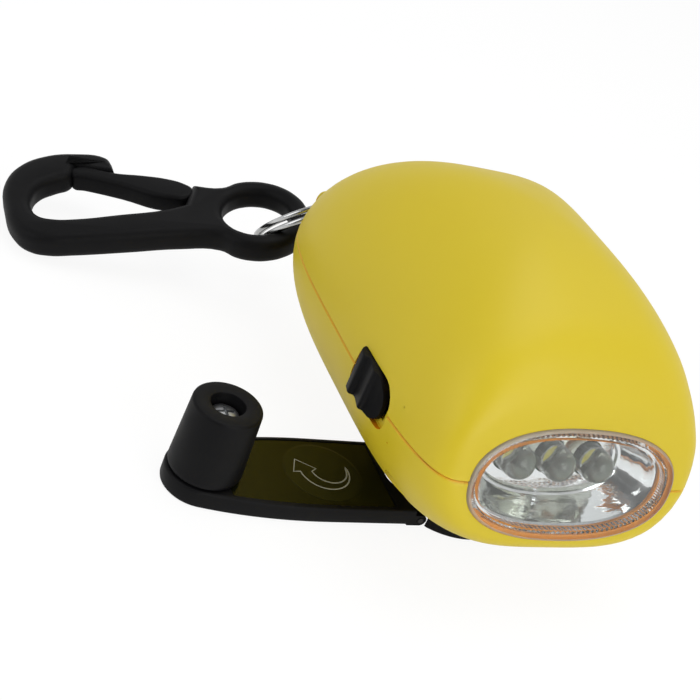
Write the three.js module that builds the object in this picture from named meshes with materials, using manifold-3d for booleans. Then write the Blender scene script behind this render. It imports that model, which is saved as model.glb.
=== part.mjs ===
// A small hand crank flashlight: a pebble shaped two part shell that rests on its crank hub, with the crank
// arm swung out to the left, a gear train and generator inside, three LEDs, and a split ring with a snap hook.
// Millimetres, +Z up. The origin is on the crank's axis, on the plane that the hub and the arm lie on. The lens
// looks along -Y and the ring hangs at the +Y end.

import * as THREE from 'three';
import { mergeVertices } from 'three/addons/utils/BufferGeometryUtils.js';
import Module from 'manifold-3d';

const wasm = await Module();
wasm.setup();

// Sizes shared by many pieces
const gap = 0.3;
const overrun = 60;
const mergeDistance = 1e-4;

// Shell: half sizes of the whole pebble about its centre, and the wall
const bodyHalfWidth = 26;
const bodyRearReach = 38.3;
const bodyFrontReach = 40.9;
const bodyTopHeight = 26.3;
const bodyBottomDepth = 19.7;
const bodyCentreY = 8.7;
const partingZ = 23.6;
const shellWall = 2;
const planExponent = 3.55;
const topExponent = 1.84;
const bottomExponent = 2.01;

// Front face: how far ahead of the pebble's centre it cuts, and its lean
const frontCut = 33.2;
const frontRise = 0.2;
const frontLean = THREE.MathUtils.degToRad(14.3);
const frontOvalExponent = 2.35;

// Lens and its seat, measured along the front face's own axis
const openingHalfWidth = 17.1;
const openingHalfHeight = 8;
const lensHalfWidth = 17.9;
const lensHalfHeight = 8.8;
const lensProud = 0.8;
const lensPlate = 1.2;
const lensSkirtLength = 1.6;
const lensSkirtWall = 0.9;

// Reflector bowl: half width, half height and depth of its rings behind the front face
const reflectorFlangeWidth = 17.6;
const reflectorFlangeHeight = 8.5;
const reflectorFlangeThickness = 1;
const reflectorWall = 0.9;
const bowlMouthWidth = 15.6;
const bowlMouthHeight = 7;
const bowlFloorWidth = 11.6;
const bowlFloorHeight = 5;
const bowlFloorDepth = 7.5;
const bowlRise = 0.9;
const bowlDepthShares = [0, 0.24, 0.6, 1];
const bowlSpreadShares = [1, 0.86, 0.5, 0];

// LEDs and their board
const ledPitch = 7;
const ledRadius = 2.5;
const ledTipDepth = 2.7;
const ledFlangeRadius = 2.9;
const ledFlangeThickness = 1;
const ledFlangeDepth = 10.4;
const ledBoardHalfWidth = 11;
const ledBoardHalfHeight = 4.5;
const ledBoardThickness = 1.2;

// Crank hub, on the rest plane
const hubRadius = 11.4;
const hubThickness = 3.5;
const hubBossRadius = 3;
const hubShaftRadius = 3.5;
const hubShaftTop = 9.6;
const hubSpigotRadius = 2.5;
const hubSpigotTop = 12.6;
const channelHalfWidth = 8.5;
const channelHeight = 2.3;
const hubScrewHeadRadius = 3.5;
const hubScrewHeadHeight = 1.4;
const hubScrewShankRadius = 1.2;
const hubScrewReach = 5.4;

// Hinge between the hub and the arm
const hingeX = -8.4;
const hingeZ = 1;
const knuckleRadius = 1;
const hingeReach = 1;
const hingePinRadius = 0.5;
const hingePinClearance = 0.14;
const tongueHalfWidth = 5;

// Crank arm and its label
const armThickness = 3;
const armHalfWidth = 8.15;
const armTaperX = -24;
const armEndRadius = 5.9;
const armEndTurn = THREE.MathUtils.degToRad(15);
const armEdgeRadius = 0.5;
const armHoleRadius = 3.6;
const armNotchRadius = 3.9;
const knobX = -43;
const labelThickness = 0.25;
const labelMargin = 0.8;
const labelOuterX = -40;
const labelInnerX = -13.2;

// Knob and its screw
const knobBaseRadius = 5.7;
const knobTopRadius = 5.25;
const knobHeight = 11.6;
const knobEdgeRadius = 0.7;
const knobRecessRadius = 2.6;
const knobRecessDepth = 3;
const knobScrewHeadHeight = 1.4;
const knobScrewShankRadius = 1.3;
const knobScrewFoot = 0.9;

// Clearance cut in the lower shell for the knob's path under the shell
const undercutRadius = 35.4;
const undercutHeight = 15.9;

// Crank bearing
const bushWall = 1.25;
const bushClearance = 0.25;
const bushBottom = 4.6;
const bushFlangeRadius = 7;
const bushFlangeThickness = 1.2;
const collarRadius = 7.5;
const collarTop = 7.9;

// Gear train: modules in millimetres, counts of teeth, and where each stage lies
const wheelTeeth = 36;
const pinionTeeth = 12;
const driveModule = 0.7;
const middleModule = 0.6;
const fastModule = 0.5;
const pressureAngle = THREE.MathUtils.degToRad(25);
const addendumShare = 0.9;
const dedendumShare = 1.15;
const backlashShare = 0.16;
const driveGearBottom = 9.9;
const driveGearThickness = 3;
const middleWheelBottom = 13.7;
const middleWheelThickness = 2.2;
const fastWheelThickness = 2.2;
const secondPinionBottom = 13.4;
const secondPinionLength = 3.3;
const idlerCollarRadius = 1.9;
const idlerOneAngle = THREE.MathUtils.degToRad(67.6);
const idlerTwoAngle = THREE.MathUtils.degToRad(180);
const rotorAngle = THREE.MathUtils.degToRad(-76.5);
const axleRadius = 1;
const axleClearance = 0.2;
const axleBossRadius = 2.4;
const axleBossTop = 9.6;
const axleSeatDepth = 1.8;

// Gear plate on its pillars
const plateBottom = 19.8;
const plateThickness = 1.5;
const plateHalfWidth = 16;
const plateFrontY = -8.5;
const plateWideEndY = 31;
const plateTailHalfWidth = 5;
const plateTailEndY = 35;
const pillarRadius = 2.2;
const frontPillarX = 14.5;
const rearPillarY = 32.5;
const plateScrewHeadRadius = 2;
const plateScrewHeadHeight = 1;
const plateScrewShankRadius = 0.9;
const plateScrewReach = 5;

// Generator: rotor, stator, coil and the bridge over them
const rotorShaftTop = 30.5;
const rotorPinionLength = 2.8;
const magnetRadius = 6;
const magnetBottom = 22.6;
const magnetHeight = 6;
const poleClearance = 0.6;
const coreBottom = 23.5;
const coreThickness = 4;
const coreReachLeft = 8;
const coreReachRight = 19;
const coreHalfDepth = 9.7;
const poleGap = 2;
const windowLeft = 8.5;
const windowRight = 14.5;
const windowHalfDepth = 5.8;
const padRadius = 1.5;
const bobbinWall = 0.6;
const bobbinFlange = 0.7;
const bobbinHalfLength = 5.3;
const coilHalfWidth = 4.3;
const coilHalfHeight = 3.6;
const bridgeHalfWidth = 3;
const bridgeThickness = 1.2;
const bridgeBottom = 29.6;
const bridgeFrontY = -8.2;
const bridgeRearY = 16.4;
const bridgeLeg = 2;

// Button cells in their tray
const cellRadius = 5.8;
const cellThickness = 5.4;
const cellCount = 3;
const cellY = 23.5;
const cellZ = 28.2;
const trayWall = 1.5;
const trayTopZ = 28.2;
const traySideWall = 0.5;

// Circuit board under the roof
const boardBottom = 36;
const boardThickness = 1.2;
const boardHalfWidth = 11;
const boardFrontY = -2;
const boardRearY = 28;
const postRadius = 2;
const postPlaces = [[-8, 2], [8, 22]];
const postHoleDepth = 5.5;
const boardScrewHeadRadius = 1.8;
const boardScrewHeadHeight = 1.2;
const boardScrewShankRadius = 0.9;
const boardScrewLength = 6;
const capacitorRadius = 2.5;
const capacitorHeight = 5.5;
const capacitorX = 2;
const capacitorY = 12;

// Slide switch in its shallow seat in the left side
const switchY = -5.4;
const switchCapHalfLength = 4.5;
const switchCapHalfHeight = 3.7;
const switchCapProud = 1.2;
const switchCapThickness = 2;
const switchCapEdge = 0.6;
const switchRibCount = 4;
const switchRibDepth = 0.5;
const switchTravel = 2;
const switchStemHalf = 2;
const switchStemLength = 2.1;
const switchSeatHalfLength = 8.7;
const switchSeatHalfHeight = 5.1;
const switchSeatExponent = 2.6;
const switchBodyHalfLength = 4.6;
const switchBodyHalfHeight = 3.1;
const switchBodyClearance = 1.3;
const switchShelfLip = 0.8;
const switchShelfThickness = 2;

// Shell screws, driven from below
const shellScrewFrontX = 20;
const shellScrewFrontY = -13.5;
const shellScrewRearX = 15.5;
const shellScrewRearY = 34;
const shellScrewSeat = 18.3;
const shellScrewHeadRadius = 2.2;
const shellScrewHeadHeight = 1.6;
const shellScrewShankRadius = 1.1;
const shellScrewTop = 33.5;
const shellBossRadius = 3;

// Lug at the tail, and the split ring through it
const lugX = -12.66;
const lugStandoff = 2.22;
const lugDrop = 0.39;
const lugThickness = 3;
const lugRadius = 3.5;
const lugHoleRadius = 2.05;
const lugRoot = 4;
const ringMeanRadius = 9.4;
const ringWireWidth = 1.5;
const ringWireHeight = 1;
const ringPitch = 1.45;
const ringWireFlatShare = 0.6;
const ringStepsPerLoop = 24;
const ringStartTurn = 0.3;
const ringClimbShare = 0.2;
const ringEndShare = 0.22;
const ringAngles = [-49.79, -19.11, -0.88].map(THREE.MathUtils.degToRad);

// Snap hook, in its own plane: the eye, and the outline as shares of the reach from the eye to the far bend
const hookPlaceOnRing = THREE.MathUtils.degToRad(179.34);
const hookAngles = [52.67, -4.51, -30.8].map(THREE.MathUtils.degToRad);
const hookThickness = 5;
const hookEdge = 1.1;
const hookReach = 45.4;
const hookEyeRadius = 9.8;
const hookEyeHoleRadius = 6.2;
const hookSeatAlong = 0.57;
const hookSeatAcross = 2.45;
const gateKnuckleRadius = 1.6;
const gateThickness = 4;
const gateEdge = 0.4;
const gatePivotShares = [-0.299, 0.108];
const hookEyeEndShares = [[-0.139, -0.166], [-0.149, 0.15]];
const hookNeckShares = [[-0.268, 0.153], [-0.289, 0.017]];
const hookInnerShares = [
  [-0.372, -0.027], [-0.535, -0.079], [-0.697, -0.128], [-0.779, -0.139], [-0.831, -0.127],
  [-0.867, -0.081], [-0.88, -0.006], [-0.858, 0.065], [-0.802, 0.117], [-0.755, 0.151],
];
const hookNoseShares = [[-0.741, 0.22], [-0.583, 0.198], [-0.601, 0.254]];
const hookOuterShares = [
  [-0.624, 0.29], [-0.76, 0.302], [-0.884, 0.262], [-0.969, 0.178], [-1, 0.057],
  [-0.974, -0.077], [-0.929, -0.193], [-0.86, -0.262], [-0.779, -0.278], [-0.693, -0.266],
  [-0.491, -0.223], [-0.288, -0.177],
];
const gateInnerShares = [[-0.375, 0.068], [-0.549, 0.116], [-0.7, 0.15], [-0.727, 0.162]];
const gateOuterShares = [[-0.733, 0.203], [-0.607, 0.188], [-0.574, 0.182], [-0.477, 0.187], [-0.365, 0.18]];

// Counts of facets
const bodyAround = 48;
const bodyRings = 6;
const cavityAround = 32;
const cavityRings = 5;
const frontAround = 32;
const smallSides = 12;
const largeSides = 28;
const hookEyeSides = 16;
const hookCurveSegments = 2;

const flashlight = new THREE.Group();

// Makes a closed three.js geometry a manifold-3d solid with its faces turned outwards.
function solid(geometry) {
  const bare = new THREE.BufferGeometry();
  bare.setAttribute('position', geometry.getAttribute('position').clone());
  if (geometry.index) bare.setIndex(geometry.index.clone());
  const merged = mergeVertices(bare, mergeDistance);
  const corners = [];
  for (let i = 0; i < merged.index.count; i += 3) {
    const [a, b, c] = [0, 1, 2].map((k) => merged.index.getX(i + k));
    if (a !== b && b !== c && c !== a) corners.push(a, b, c);
  }
  const vertProperties = new Float32Array(merged.attributes.position.array);
  const build = (list) => new wasm.Manifold(
    new wasm.Mesh({ numProp: 3, vertProperties, triVerts: new Uint32Array(list) }),
  );
  const made = build(corners);
  return made.volume() < 0 ? build(corners.toReversed()) : made;
}

const asSolid = (shape) => (shape.isBufferGeometry ? solid(shape) : shape);
const join = (first, ...rest) => rest.reduce((sum, next) => sum.add(asSolid(next)), asSolid(first));
const cut = (first, ...rest) => rest.reduce((left, next) => left.subtract(asSolid(next)), asSolid(first));
const common = (first, second) => asSolid(first).intersect(asSolid(second));

// Adds a named mesh to the flashlight, or to one of its groups.
function addPart(name, shape, colour, roughness, metalness, parent = flashlight) {
  const { vertProperties, triVerts } = asSolid(shape).getMesh();
  const geometry = new THREE.BufferGeometry();
  geometry.setAttribute('position', new THREE.BufferAttribute(new Float32Array(vertProperties), 3));
  geometry.setIndex(new THREE.BufferAttribute(new Uint32Array(triVerts), 1));
  geometry.computeVertexNormals();
  const mesh = new THREE.Mesh(geometry, new THREE.MeshStandardMaterial({ color: colour, roughness, metalness }));
  mesh.name = name;
  parent.add(mesh);
  return mesh;
}

// An upright box between two corners.
function box(x0, x1, y0, y1, z0, z1) {
  return new THREE.BoxGeometry(x1 - x0, y1 - y0, z1 - z0).translate((x0 + x1) / 2, (y0 + y1) / 2, (z0 + z1) / 2);
}

// An upright round rod.
function rod(radius, z0, z1, x = 0, y = 0, sides = smallSides) {
  return new THREE.CylinderGeometry(radius, radius, z1 - z0, sides)
    .rotateX(Math.PI / 2)
    .translate(x, y, (z0 + z1) / 2);
}

// A round rod along X, or along Y.
function rodAlongX(radius, x0, x1, y, z, sides = smallSides) {
  return rod(radius, x0, x1, 0, 0, sides).rotateY(Math.PI / 2).translate(0, y, z);
}

function rodAlongY(radius, y0, y1, x, z, sides = smallSides) {
  return rod(radius, -y1, -y0, 0, 0, sides).rotateX(Math.PI / 2).translate(x, 0, z);
}

// A turned piece about Z, from a profile of [radius, height] that starts and ends on the axis or closes.
function turned(profile, sides = smallSides) {
  return new THREE.LatheGeometry(profile.map(([r, z]) => new THREE.Vector2(r, z)), sides).rotateX(Math.PI / 2);
}

// An upright prism of a flat shape, with its edges rounded where a radius is given.
function prism(shape, z0, z1, edge = 0, curveSegments = 8) {
  return new THREE.ExtrudeGeometry(shape, {
    depth: z1 - z0 - 2 * edge,
    bevelEnabled: edge > 0,
    bevelThickness: edge,
    bevelSize: edge,
    bevelOffset: -edge,
    bevelSegments: 1,
    steps: 1,
    curveSegments,
  }).translate(0, 0, z0 + edge);
}

// Points on an arc about the origin, with so many steps to a full circle.
function arcPoints(radius, from, to, sides) {
  const steps = Math.round((sides * Math.abs(to - from)) / (2 * Math.PI));
  return Array.from({ length: steps + 1 }, (_, i) => {
    const angle = THREE.MathUtils.lerp(from, to, i / steps);
    return new THREE.Vector2(radius * Math.cos(angle), radius * Math.sin(angle));
  });
}

// A closed skin over rings of equally many points, with a fan to a point at each end.
function loft(first, rings, last) {
  const count = rings[0].length;
  const points = [first, ...rings.flat(), last];
  const index = [];
  for (let i = 0; i < count; i += 1) {
    const next = (i + 1) % count;
    index.push(0, 1 + next, 1 + i);
    for (let r = 0; r + 1 < rings.length; r += 1) {
      const low = 1 + r * count;
      const high = low + count;
      index.push(low + i, low + next, high + next, low + i, high + next, high + i);
    }
    const top = 1 + (rings.length - 1) * count;
    index.push(top + i, top + next, points.length - 1);
  }
  const geometry = new THREE.BufferGeometry().setFromPoints(points);
  geometry.setIndex(index);
  return geometry;
}

const signedPower = (value, exponent) => Math.sign(value) * Math.abs(value) ** exponent;

// Points of a flat oval whose corners get squarer as the exponent grows.
function ovalPoints(halfWidth, halfHeight, exponent, count) {
  return Array.from({ length: count }, (_, i) => {
    const turn = (2 * Math.PI * i) / count;
    return new THREE.Vector2(
      halfWidth * signedPower(Math.cos(turn), 2 / exponent),
      halfHeight * signedPower(Math.sin(turn), 2 / exponent),
    );
  });
}

const centroid = (points) => points
  .reduce((sum, point) => sum.add(point), new THREE.Vector3())
  .divideScalar(points.length);

// The pebble, drawn in on all sides by an inset.
function pebble(inset, around, ringsPerHalf) {
  const rings = [];
  for (let i = 1; i < 2 * ringsPerHalf; i += 1) {
    const lift = (Math.PI / 2) * (i / ringsPerHalf - 1);
    const exponent = lift < 0 ? bottomExponent : topExponent;
    const height = (lift < 0 ? bodyBottomDepth : bodyTopHeight) - inset;
    const spread = Math.cos(lift) ** (2 / exponent);
    const rise = signedPower(Math.sin(lift), 2 / exponent) * height;
    rings.push(Array.from({ length: around }, (_, k) => {
      const turn = (2 * Math.PI * (k + 0.5)) / around;
      const reach = (Math.sin(turn) < 0 ? bodyFrontReach : bodyRearReach) - inset;
      return new THREE.Vector3(
        (bodyHalfWidth - inset) * signedPower(Math.cos(turn), 2 / planExponent) * spread,
        bodyCentreY + reach * signedPower(Math.sin(turn), 2 / planExponent) * spread,
        partingZ + rise,
      );
    }));
  }
  return loft(
    new THREE.Vector3(0, bodyCentreY, partingZ - bodyBottomDepth + inset),
    rings,
    new THREE.Vector3(0, bodyCentreY, partingZ + bodyTopHeight - inset),
  );
}

// Front face frame: local Z looks out of the lens, local Y is up the face
const front = new THREE.Group();
front.position.set(0, bodyCentreY - frontCut, partingZ + frontRise);
front.rotation.x = Math.PI / 2 - frontLean;
front.updateMatrix();
flashlight.add(front);
const onFront = (geometry) => geometry.applyMatrix4(front.matrix);

// An oval slab in the front face's frame.
function frontOval(halfWidth, halfHeight, from, to) {
  return prism(new THREE.Shape(ovalPoints(halfWidth, halfHeight, frontOvalExponent, frontAround)), from, to);
}

// Whole shell body: the pebble with its flat front, the cavity, and the openings that both halves share
const aheadOfFace = (depth) => onFront(box(-overrun, overrun, -overrun, overrun, -depth, overrun));
const outerBody = cut(pebble(0, bodyAround, bodyRings), aheadOfFace(0));
const cavityFull = cut(pebble(shellWall, cavityAround, cavityRings), aheadOfFace(shellWall));
const outsideRadius = (radius, top) => cut(
  box(-overrun, overrun, -overrun, overrun, -overrun, top),
  rod(radius, -2 * overrun, top + gap, 0, 0, 2 * largeSides),
);
const knobPath = outsideRadius(undercutRadius, undercutHeight);
const cavity = cut(cavityFull, outsideRadius(undercutRadius - shellWall, undercutHeight + shellWall));
const seatDepth = lensPlate - lensProud + gap;
const lensOpening = join(
  onFront(frontOval(openingHalfWidth, openingHalfHeight, -shellWall - 1.5 * lensPlate, lensPlate)),
  onFront(frontOval(lensHalfWidth + gap, lensHalfHeight + gap, -seatDepth, lensPlate)),
);

// Switch seat: a shallow oval pocket in the left side, with a slot through the wall for the stem
const seatFloorX = -bodyHalfWidth + switchCapThickness - switchCapProud + gap;
const switchSeat = prism(
  new THREE.Shape(ovalPoints(switchSeatHalfLength, switchSeatHalfHeight, switchSeatExponent, largeSides)),
  -overrun,
  seatFloorX,
).applyMatrix4(new THREE.Matrix4().makeBasis(
  new THREE.Vector3(0, 1, 0), new THREE.Vector3(0, 0, 1), new THREE.Vector3(1, 0, 0),
)).translate(0, switchY, partingZ);
const stemReach = switchStemHalf + gap;
const switchSlot = box(
  -overrun, -bodyHalfWidth + 2 * shellWall,
  switchY - stemReach - switchTravel, switchY + stemReach,
  partingZ - stemReach, partingZ + stemReach,
);
const sharedCuts = join(lensOpening, switchSeat, switchSlot);

const shellScrewPlaces = [
  [-shellScrewFrontX, shellScrewFrontY], [shellScrewFrontX, shellScrewFrontY],
  [-shellScrewRearX, shellScrewRearY], [shellScrewRearX, shellScrewRearY],
];
const pillarPlaces = [[-frontPillarX, plateFrontY], [frontPillarX, plateFrontY], [0, rearPillarY]];

// Gear places: each axis lies on the last one's pitch circle
const pitchRadius = (module, teeth) => (module * teeth) / 2;
const centreDistance = (module) => pitchRadius(module, wheelTeeth) + pitchRadius(module, pinionTeeth);
const offsetBy = ([x, y], distance, angle) => [x + distance * Math.cos(angle), y + distance * Math.sin(angle)];
const cranked = [0, 0];
const idlerOne = offsetBy(cranked, centreDistance(driveModule), idlerOneAngle);
const idlerTwo = offsetBy(idlerOne, centreDistance(middleModule), idlerTwoAngle);
const rotor = offsetBy(idlerTwo, centreDistance(fastModule), rotorAngle);
const idlerPlaces = [idlerOne, idlerTwo];

// Tail lug: stands on the lower shell's tail surface, with the split ring's wire through it
const tailPlan = (1 - Math.abs(lugX / bodyHalfWidth) ** planExponent) ** (1 / planExponent);
const tailBulge = (1 - (lugDrop / bodyBottomDepth) ** bottomExponent) ** (1 / bottomExponent);
const ringGroup = new THREE.Group();
ringGroup.position.set(lugX, bodyCentreY + bodyRearReach * tailPlan * tailBulge + lugStandoff, partingZ - lugDrop);
ringGroup.rotation.set(...ringAngles);
ringGroup.updateMatrix();
flashlight.add(ringGroup);
const ringTangent = new THREE.Vector3(1, 0, 0).applyEuler(ringGroup.rotation);
const lugTurn = Math.atan2(ringTangent.y, ringTangent.x);
const atLug = (geometry) => geometry.rotateZ(lugTurn).translate(...ringGroup.position.toArray());
const lug = cut(
  join(
    atLug(rodAlongX(lugRadius, -lugThickness / 2, lugThickness / 2, 0, 0, largeSides)),
    atLug(box(-lugThickness / 2, lugThickness / 2, -lugRoot, 0, -lugRadius, lugRadius)),
  ),
  atLug(rodAlongX(lugHoleRadius, -lugThickness, lugThickness, 0, 0, smallSides)),
  cavityFull,
);

// Upper shell: roof half with the screw bosses and the circuit board's posts
const aboveParting = box(-overrun, overrun, -overrun, overrun, partingZ + gap / 2, 2 * overrun);
const belowParting = box(-overrun, overrun, -overrun, overrun, -overrun, partingZ - gap / 2);
const postBottom = boardBottom + boardThickness + gap;
const upperBosses = join(
  ...shellScrewPlaces.map(([x, y]) => rod(shellBossRadius, partingZ + gap / 2, overrun, x, y)),
  ...postPlaces.map(([x, y]) => rod(postRadius, postBottom, overrun, x, y)),
);
const upperHoles = join(
  ...shellScrewPlaces.map(([x, y]) => rod(
    shellScrewShankRadius + gap, -overrun, shellScrewTop + gap, x, y,
  )),
  ...postPlaces.map(([x, y]) => rod(boardScrewShankRadius + gap, postBottom - gap, postBottom + postHoleDepth, x, y)),
);
const upperHalf = common(outerBody, aboveParting);
addPart(
  'upper_shell',
  cut(join(cut(upperHalf, cavity), common(upperBosses, upperHalf)), upperHoles, sharedCuts),
  0xdec435, 0.45, 0,
);

// Lower shell: floor half with the bearing collar, axle bosses, plate pillars, screw bosses, switch shelf and lug
const pillarTop = plateBottom - gap;
const shelfTop = partingZ - switchBodyHalfHeight - gap;
const switchBodyInnerX = -frontPillarX - pillarRadius - switchBodyClearance;
const lowerHalf = cut(common(outerBody, belowParting), knobPath);
const lowerInside = join(
  rod(collarRadius, 0, collarTop, 0, 0, largeSides),
  ...idlerPlaces.map(([x, y]) => rod(axleBossRadius, 0, axleBossTop, x, y)),
  ...pillarPlaces.map(([x, y]) => rod(pillarRadius, 0, pillarTop, x, y)),
  ...shellScrewPlaces.map(([x, y]) => rod(shellBossRadius, 0, partingZ - gap / 2, x, y)),
  box(
    -bodyHalfWidth, switchBodyInnerX + switchShelfLip,
    switchY - switchBodyHalfLength, switchY + switchBodyHalfLength,
    shelfTop - switchShelfThickness, shelfTop,
  ),
);
const bushOuterRadius = hubShaftRadius + bushClearance + bushWall;
const lowerHoles = join(
  rod(bushOuterRadius + gap, -overrun, overrun / 2, 0, 0, largeSides),
  ...idlerPlaces.map(([x, y]) => rod(axleRadius + axleClearance, axleBossTop - axleSeatDepth, overrun, x, y)),
  ...pillarPlaces.map(([x, y]) => rod(
    plateScrewShankRadius + gap, pillarTop - plateScrewReach - gap, overrun, x, y,
  )),
  ...shellScrewPlaces.map(([x, y]) => rod(shellScrewShankRadius + gap, -overrun, overrun, x, y)),
  ...shellScrewPlaces.map(([x, y]) => rod(shellScrewHeadRadius + gap, -overrun, shellScrewSeat, x, y)),
);
addPart(
  'lower_shell',
  cut(
    join(cut(lowerHalf, cavity), common(lowerInside, lowerHalf), common(lug, belowParting)),
    lowerHoles,
    sharedCuts,
  ),
  0xdec435, 0.45, 0,
);

// Shell screws, heads sunk into the lower shell
shellScrewPlaces.forEach(([x, y], i) => {
  const headTop = shellScrewSeat - gap;
  const screw = turned([
    [0, headTop - shellScrewHeadHeight],
    [shellScrewHeadRadius, headTop - shellScrewHeadHeight],
    [shellScrewHeadRadius, headTop],
    [shellScrewShankRadius, headTop],
    [shellScrewShankRadius, shellScrewTop - shellScrewShankRadius],
    [0, shellScrewTop],
  ]);
  addPart(`shell_screw_${i + 1}`, screw, 0xb4b6b8, 0.35, 0.9).position.set(x, y, 0);
});

// Lens: a clear plate that stands a little proud, with a skirt that enters the opening
const skirtWidth = openingHalfWidth - gap;
const skirtHeight = openingHalfHeight - gap;
const lensBack = lensProud - lensPlate;
addPart(
  'lens',
  join(
    frontOval(lensHalfWidth, lensHalfHeight, lensBack, lensProud),
    cut(
      frontOval(skirtWidth, skirtHeight, lensBack - lensSkirtLength, lensBack + lensPlate / 2),
      frontOval(skirtWidth - lensSkirtWall, skirtHeight - lensSkirtWall, -overrun, lensBack),
    ),
  ),
  0xf2f6f6, 0.05, 0, front,
);

// Reflector: an oval bowl with a flange behind the front wall and three holes for the LEDs. Its axis stays level
// while the front face leans back, so its floor and the LEDs stand a little above the lens's middle
const flangeTop = lensBack - lensSkirtLength - gap;
const flangeBottom = flangeTop - reflectorFlangeThickness;
function bowl(grow, mouthZ, floorZ) {
  const rings = bowlDepthShares.map((depth, i) => {
    const halfWidth = grow + THREE.MathUtils.lerp(bowlFloorWidth, bowlMouthWidth, bowlSpreadShares[i]);
    const halfHeight = grow + THREE.MathUtils.lerp(bowlFloorHeight, bowlMouthHeight, bowlSpreadShares[i]);
    const z = THREE.MathUtils.lerp(mouthZ, floorZ, depth);
    return ovalPoints(halfWidth, halfHeight, frontOvalExponent, frontAround)
      .map((point) => new THREE.Vector3(point.x, point.y + bowlRise * depth, z));
  });
  return loft(centroid(rings[0]), rings, centroid(rings.at(-1)));
}
const ledOffsets = [-ledPitch, 0, ledPitch];
addPart(
  'reflector',
  cut(
    join(
      frontOval(reflectorFlangeWidth, reflectorFlangeHeight, flangeBottom, flangeTop),
      bowl(reflectorWall, flangeTop - reflectorFlangeThickness / 2, -bowlFloorDepth - reflectorWall),
    ),
    bowl(0, flangeTop, -bowlFloorDepth),
    frontOval(bowlMouthWidth, bowlMouthHeight, flangeTop - gap, flangeTop + gap),
    ...ledOffsets.map((x) => rod(ledRadius + gap, -overrun, -bowlFloorDepth / 2, x, bowlRise)),
  ),
  0xe9ebec, 0.08, 1, front,
);

// LEDs: clear round topped lamps with a collar at the foot
const ledFoot = -ledFlangeDepth - ledFlangeThickness;
const domeSteps = 4;
ledOffsets.forEach((x, i) => {
  const dome = Array.from({ length: domeSteps + 1 }, (_, k) => {
    const turn = (k / domeSteps) * (Math.PI / 2);
    return [ledRadius * Math.cos(turn), -ledTipDepth - ledRadius + ledRadius * Math.sin(turn)];
  });
  dome[domeSteps][0] = 0;
  const lamp = turned([
    [0, ledFoot],
    [ledFlangeRadius, ledFoot],
    [ledFlangeRadius, -ledFlangeDepth],
    [ledRadius, -ledFlangeDepth],
    ...dome,
  ]);
  addPart(['led_left', 'led_centre', 'led_right'][i], lamp, 0xeef2f4, 0.08, 0, front).position.set(x, bowlRise, 0);
});

// LED board behind the reflector
addPart(
  'led_board',
  box(
    -ledBoardHalfWidth, ledBoardHalfWidth, bowlRise - ledBoardHalfHeight, bowlRise + ledBoardHalfHeight,
    ledFoot - gap - ledBoardThickness, ledFoot - gap,
  ),
  0x2f6b3c, 0.6, 0, front,
);

// Slide switch: a ribbed cap over the seat, whose stem enters the switch body behind the wall
const capOuterX = -bodyHalfWidth - switchCapProud;
const capInnerX = capOuterX + switchCapThickness;
const stemEndX = capInnerX + switchStemLength;
const capShape = new THREE.Shape(ovalPoints(switchCapHalfLength, switchCapHalfHeight, 2 * planExponent, largeSides));
const cap = prism(capShape, -switchCapThickness / 2, switchCapThickness / 2, switchCapEdge)
  .applyMatrix4(new THREE.Matrix4().makeBasis(
    new THREE.Vector3(0, 1, 0), new THREE.Vector3(0, 0, 1), new THREE.Vector3(1, 0, 0),
  ))
  .translate((capOuterX + capInnerX) / 2, 0, 0);
const ribPitch = (2 * (switchCapHalfLength - switchCapEdge)) / switchRibCount;
const ribCuts = Array.from({ length: switchRibCount - 1 }, (_, i) => {
  const y = (i + 1) * ribPitch - switchCapHalfLength + switchCapEdge;
  return box(
    -overrun, capOuterX + switchRibDepth, y - ribPitch / 4, y + ribPitch / 4,
    -switchCapHalfHeight * 2, switchCapHalfHeight * 2,
  );
});
addPart(
  'switch_slider',
  join(
    cut(cap, ...ribCuts),
    box((capOuterX + capInnerX) / 2, stemEndX, -switchStemHalf, switchStemHalf, -switchStemHalf, switchStemHalf),
  ),
  0x16171a, 0.5, 0,
).position.set(0, switchY, partingZ);

// Switch body on its shelf inside the left wall
const switchBodyX = stemEndX + gap;
addPart(
  'switch_body',
  box(
    switchBodyX, switchBodyInnerX,
    switchY - switchBodyHalfLength, switchY + switchBodyHalfLength,
    partingZ - switchBodyHalfHeight, partingZ + switchBodyHalfHeight,
  ),
  0x9a9da0, 0.4, 0.8,
);

// Crank bush pressed into the collar of the lower shell
const bushBore = hubShaftRadius + bushClearance;
const flangeBase = collarTop + gap;
addPart(
  'crank_bush',
  turned([
    [bushBore, bushBottom],
    [bushOuterRadius, bushBottom],
    [bushOuterRadius, flangeBase],
    [bushFlangeRadius, flangeBase],
    [bushFlangeRadius, flangeBase + bushFlangeThickness],
    [bushBore, flangeBase + bushFlangeThickness],
    [bushBore, bushBottom],
  ], largeSides),
  0xb98f45, 0.4, 0.9,
);

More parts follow.
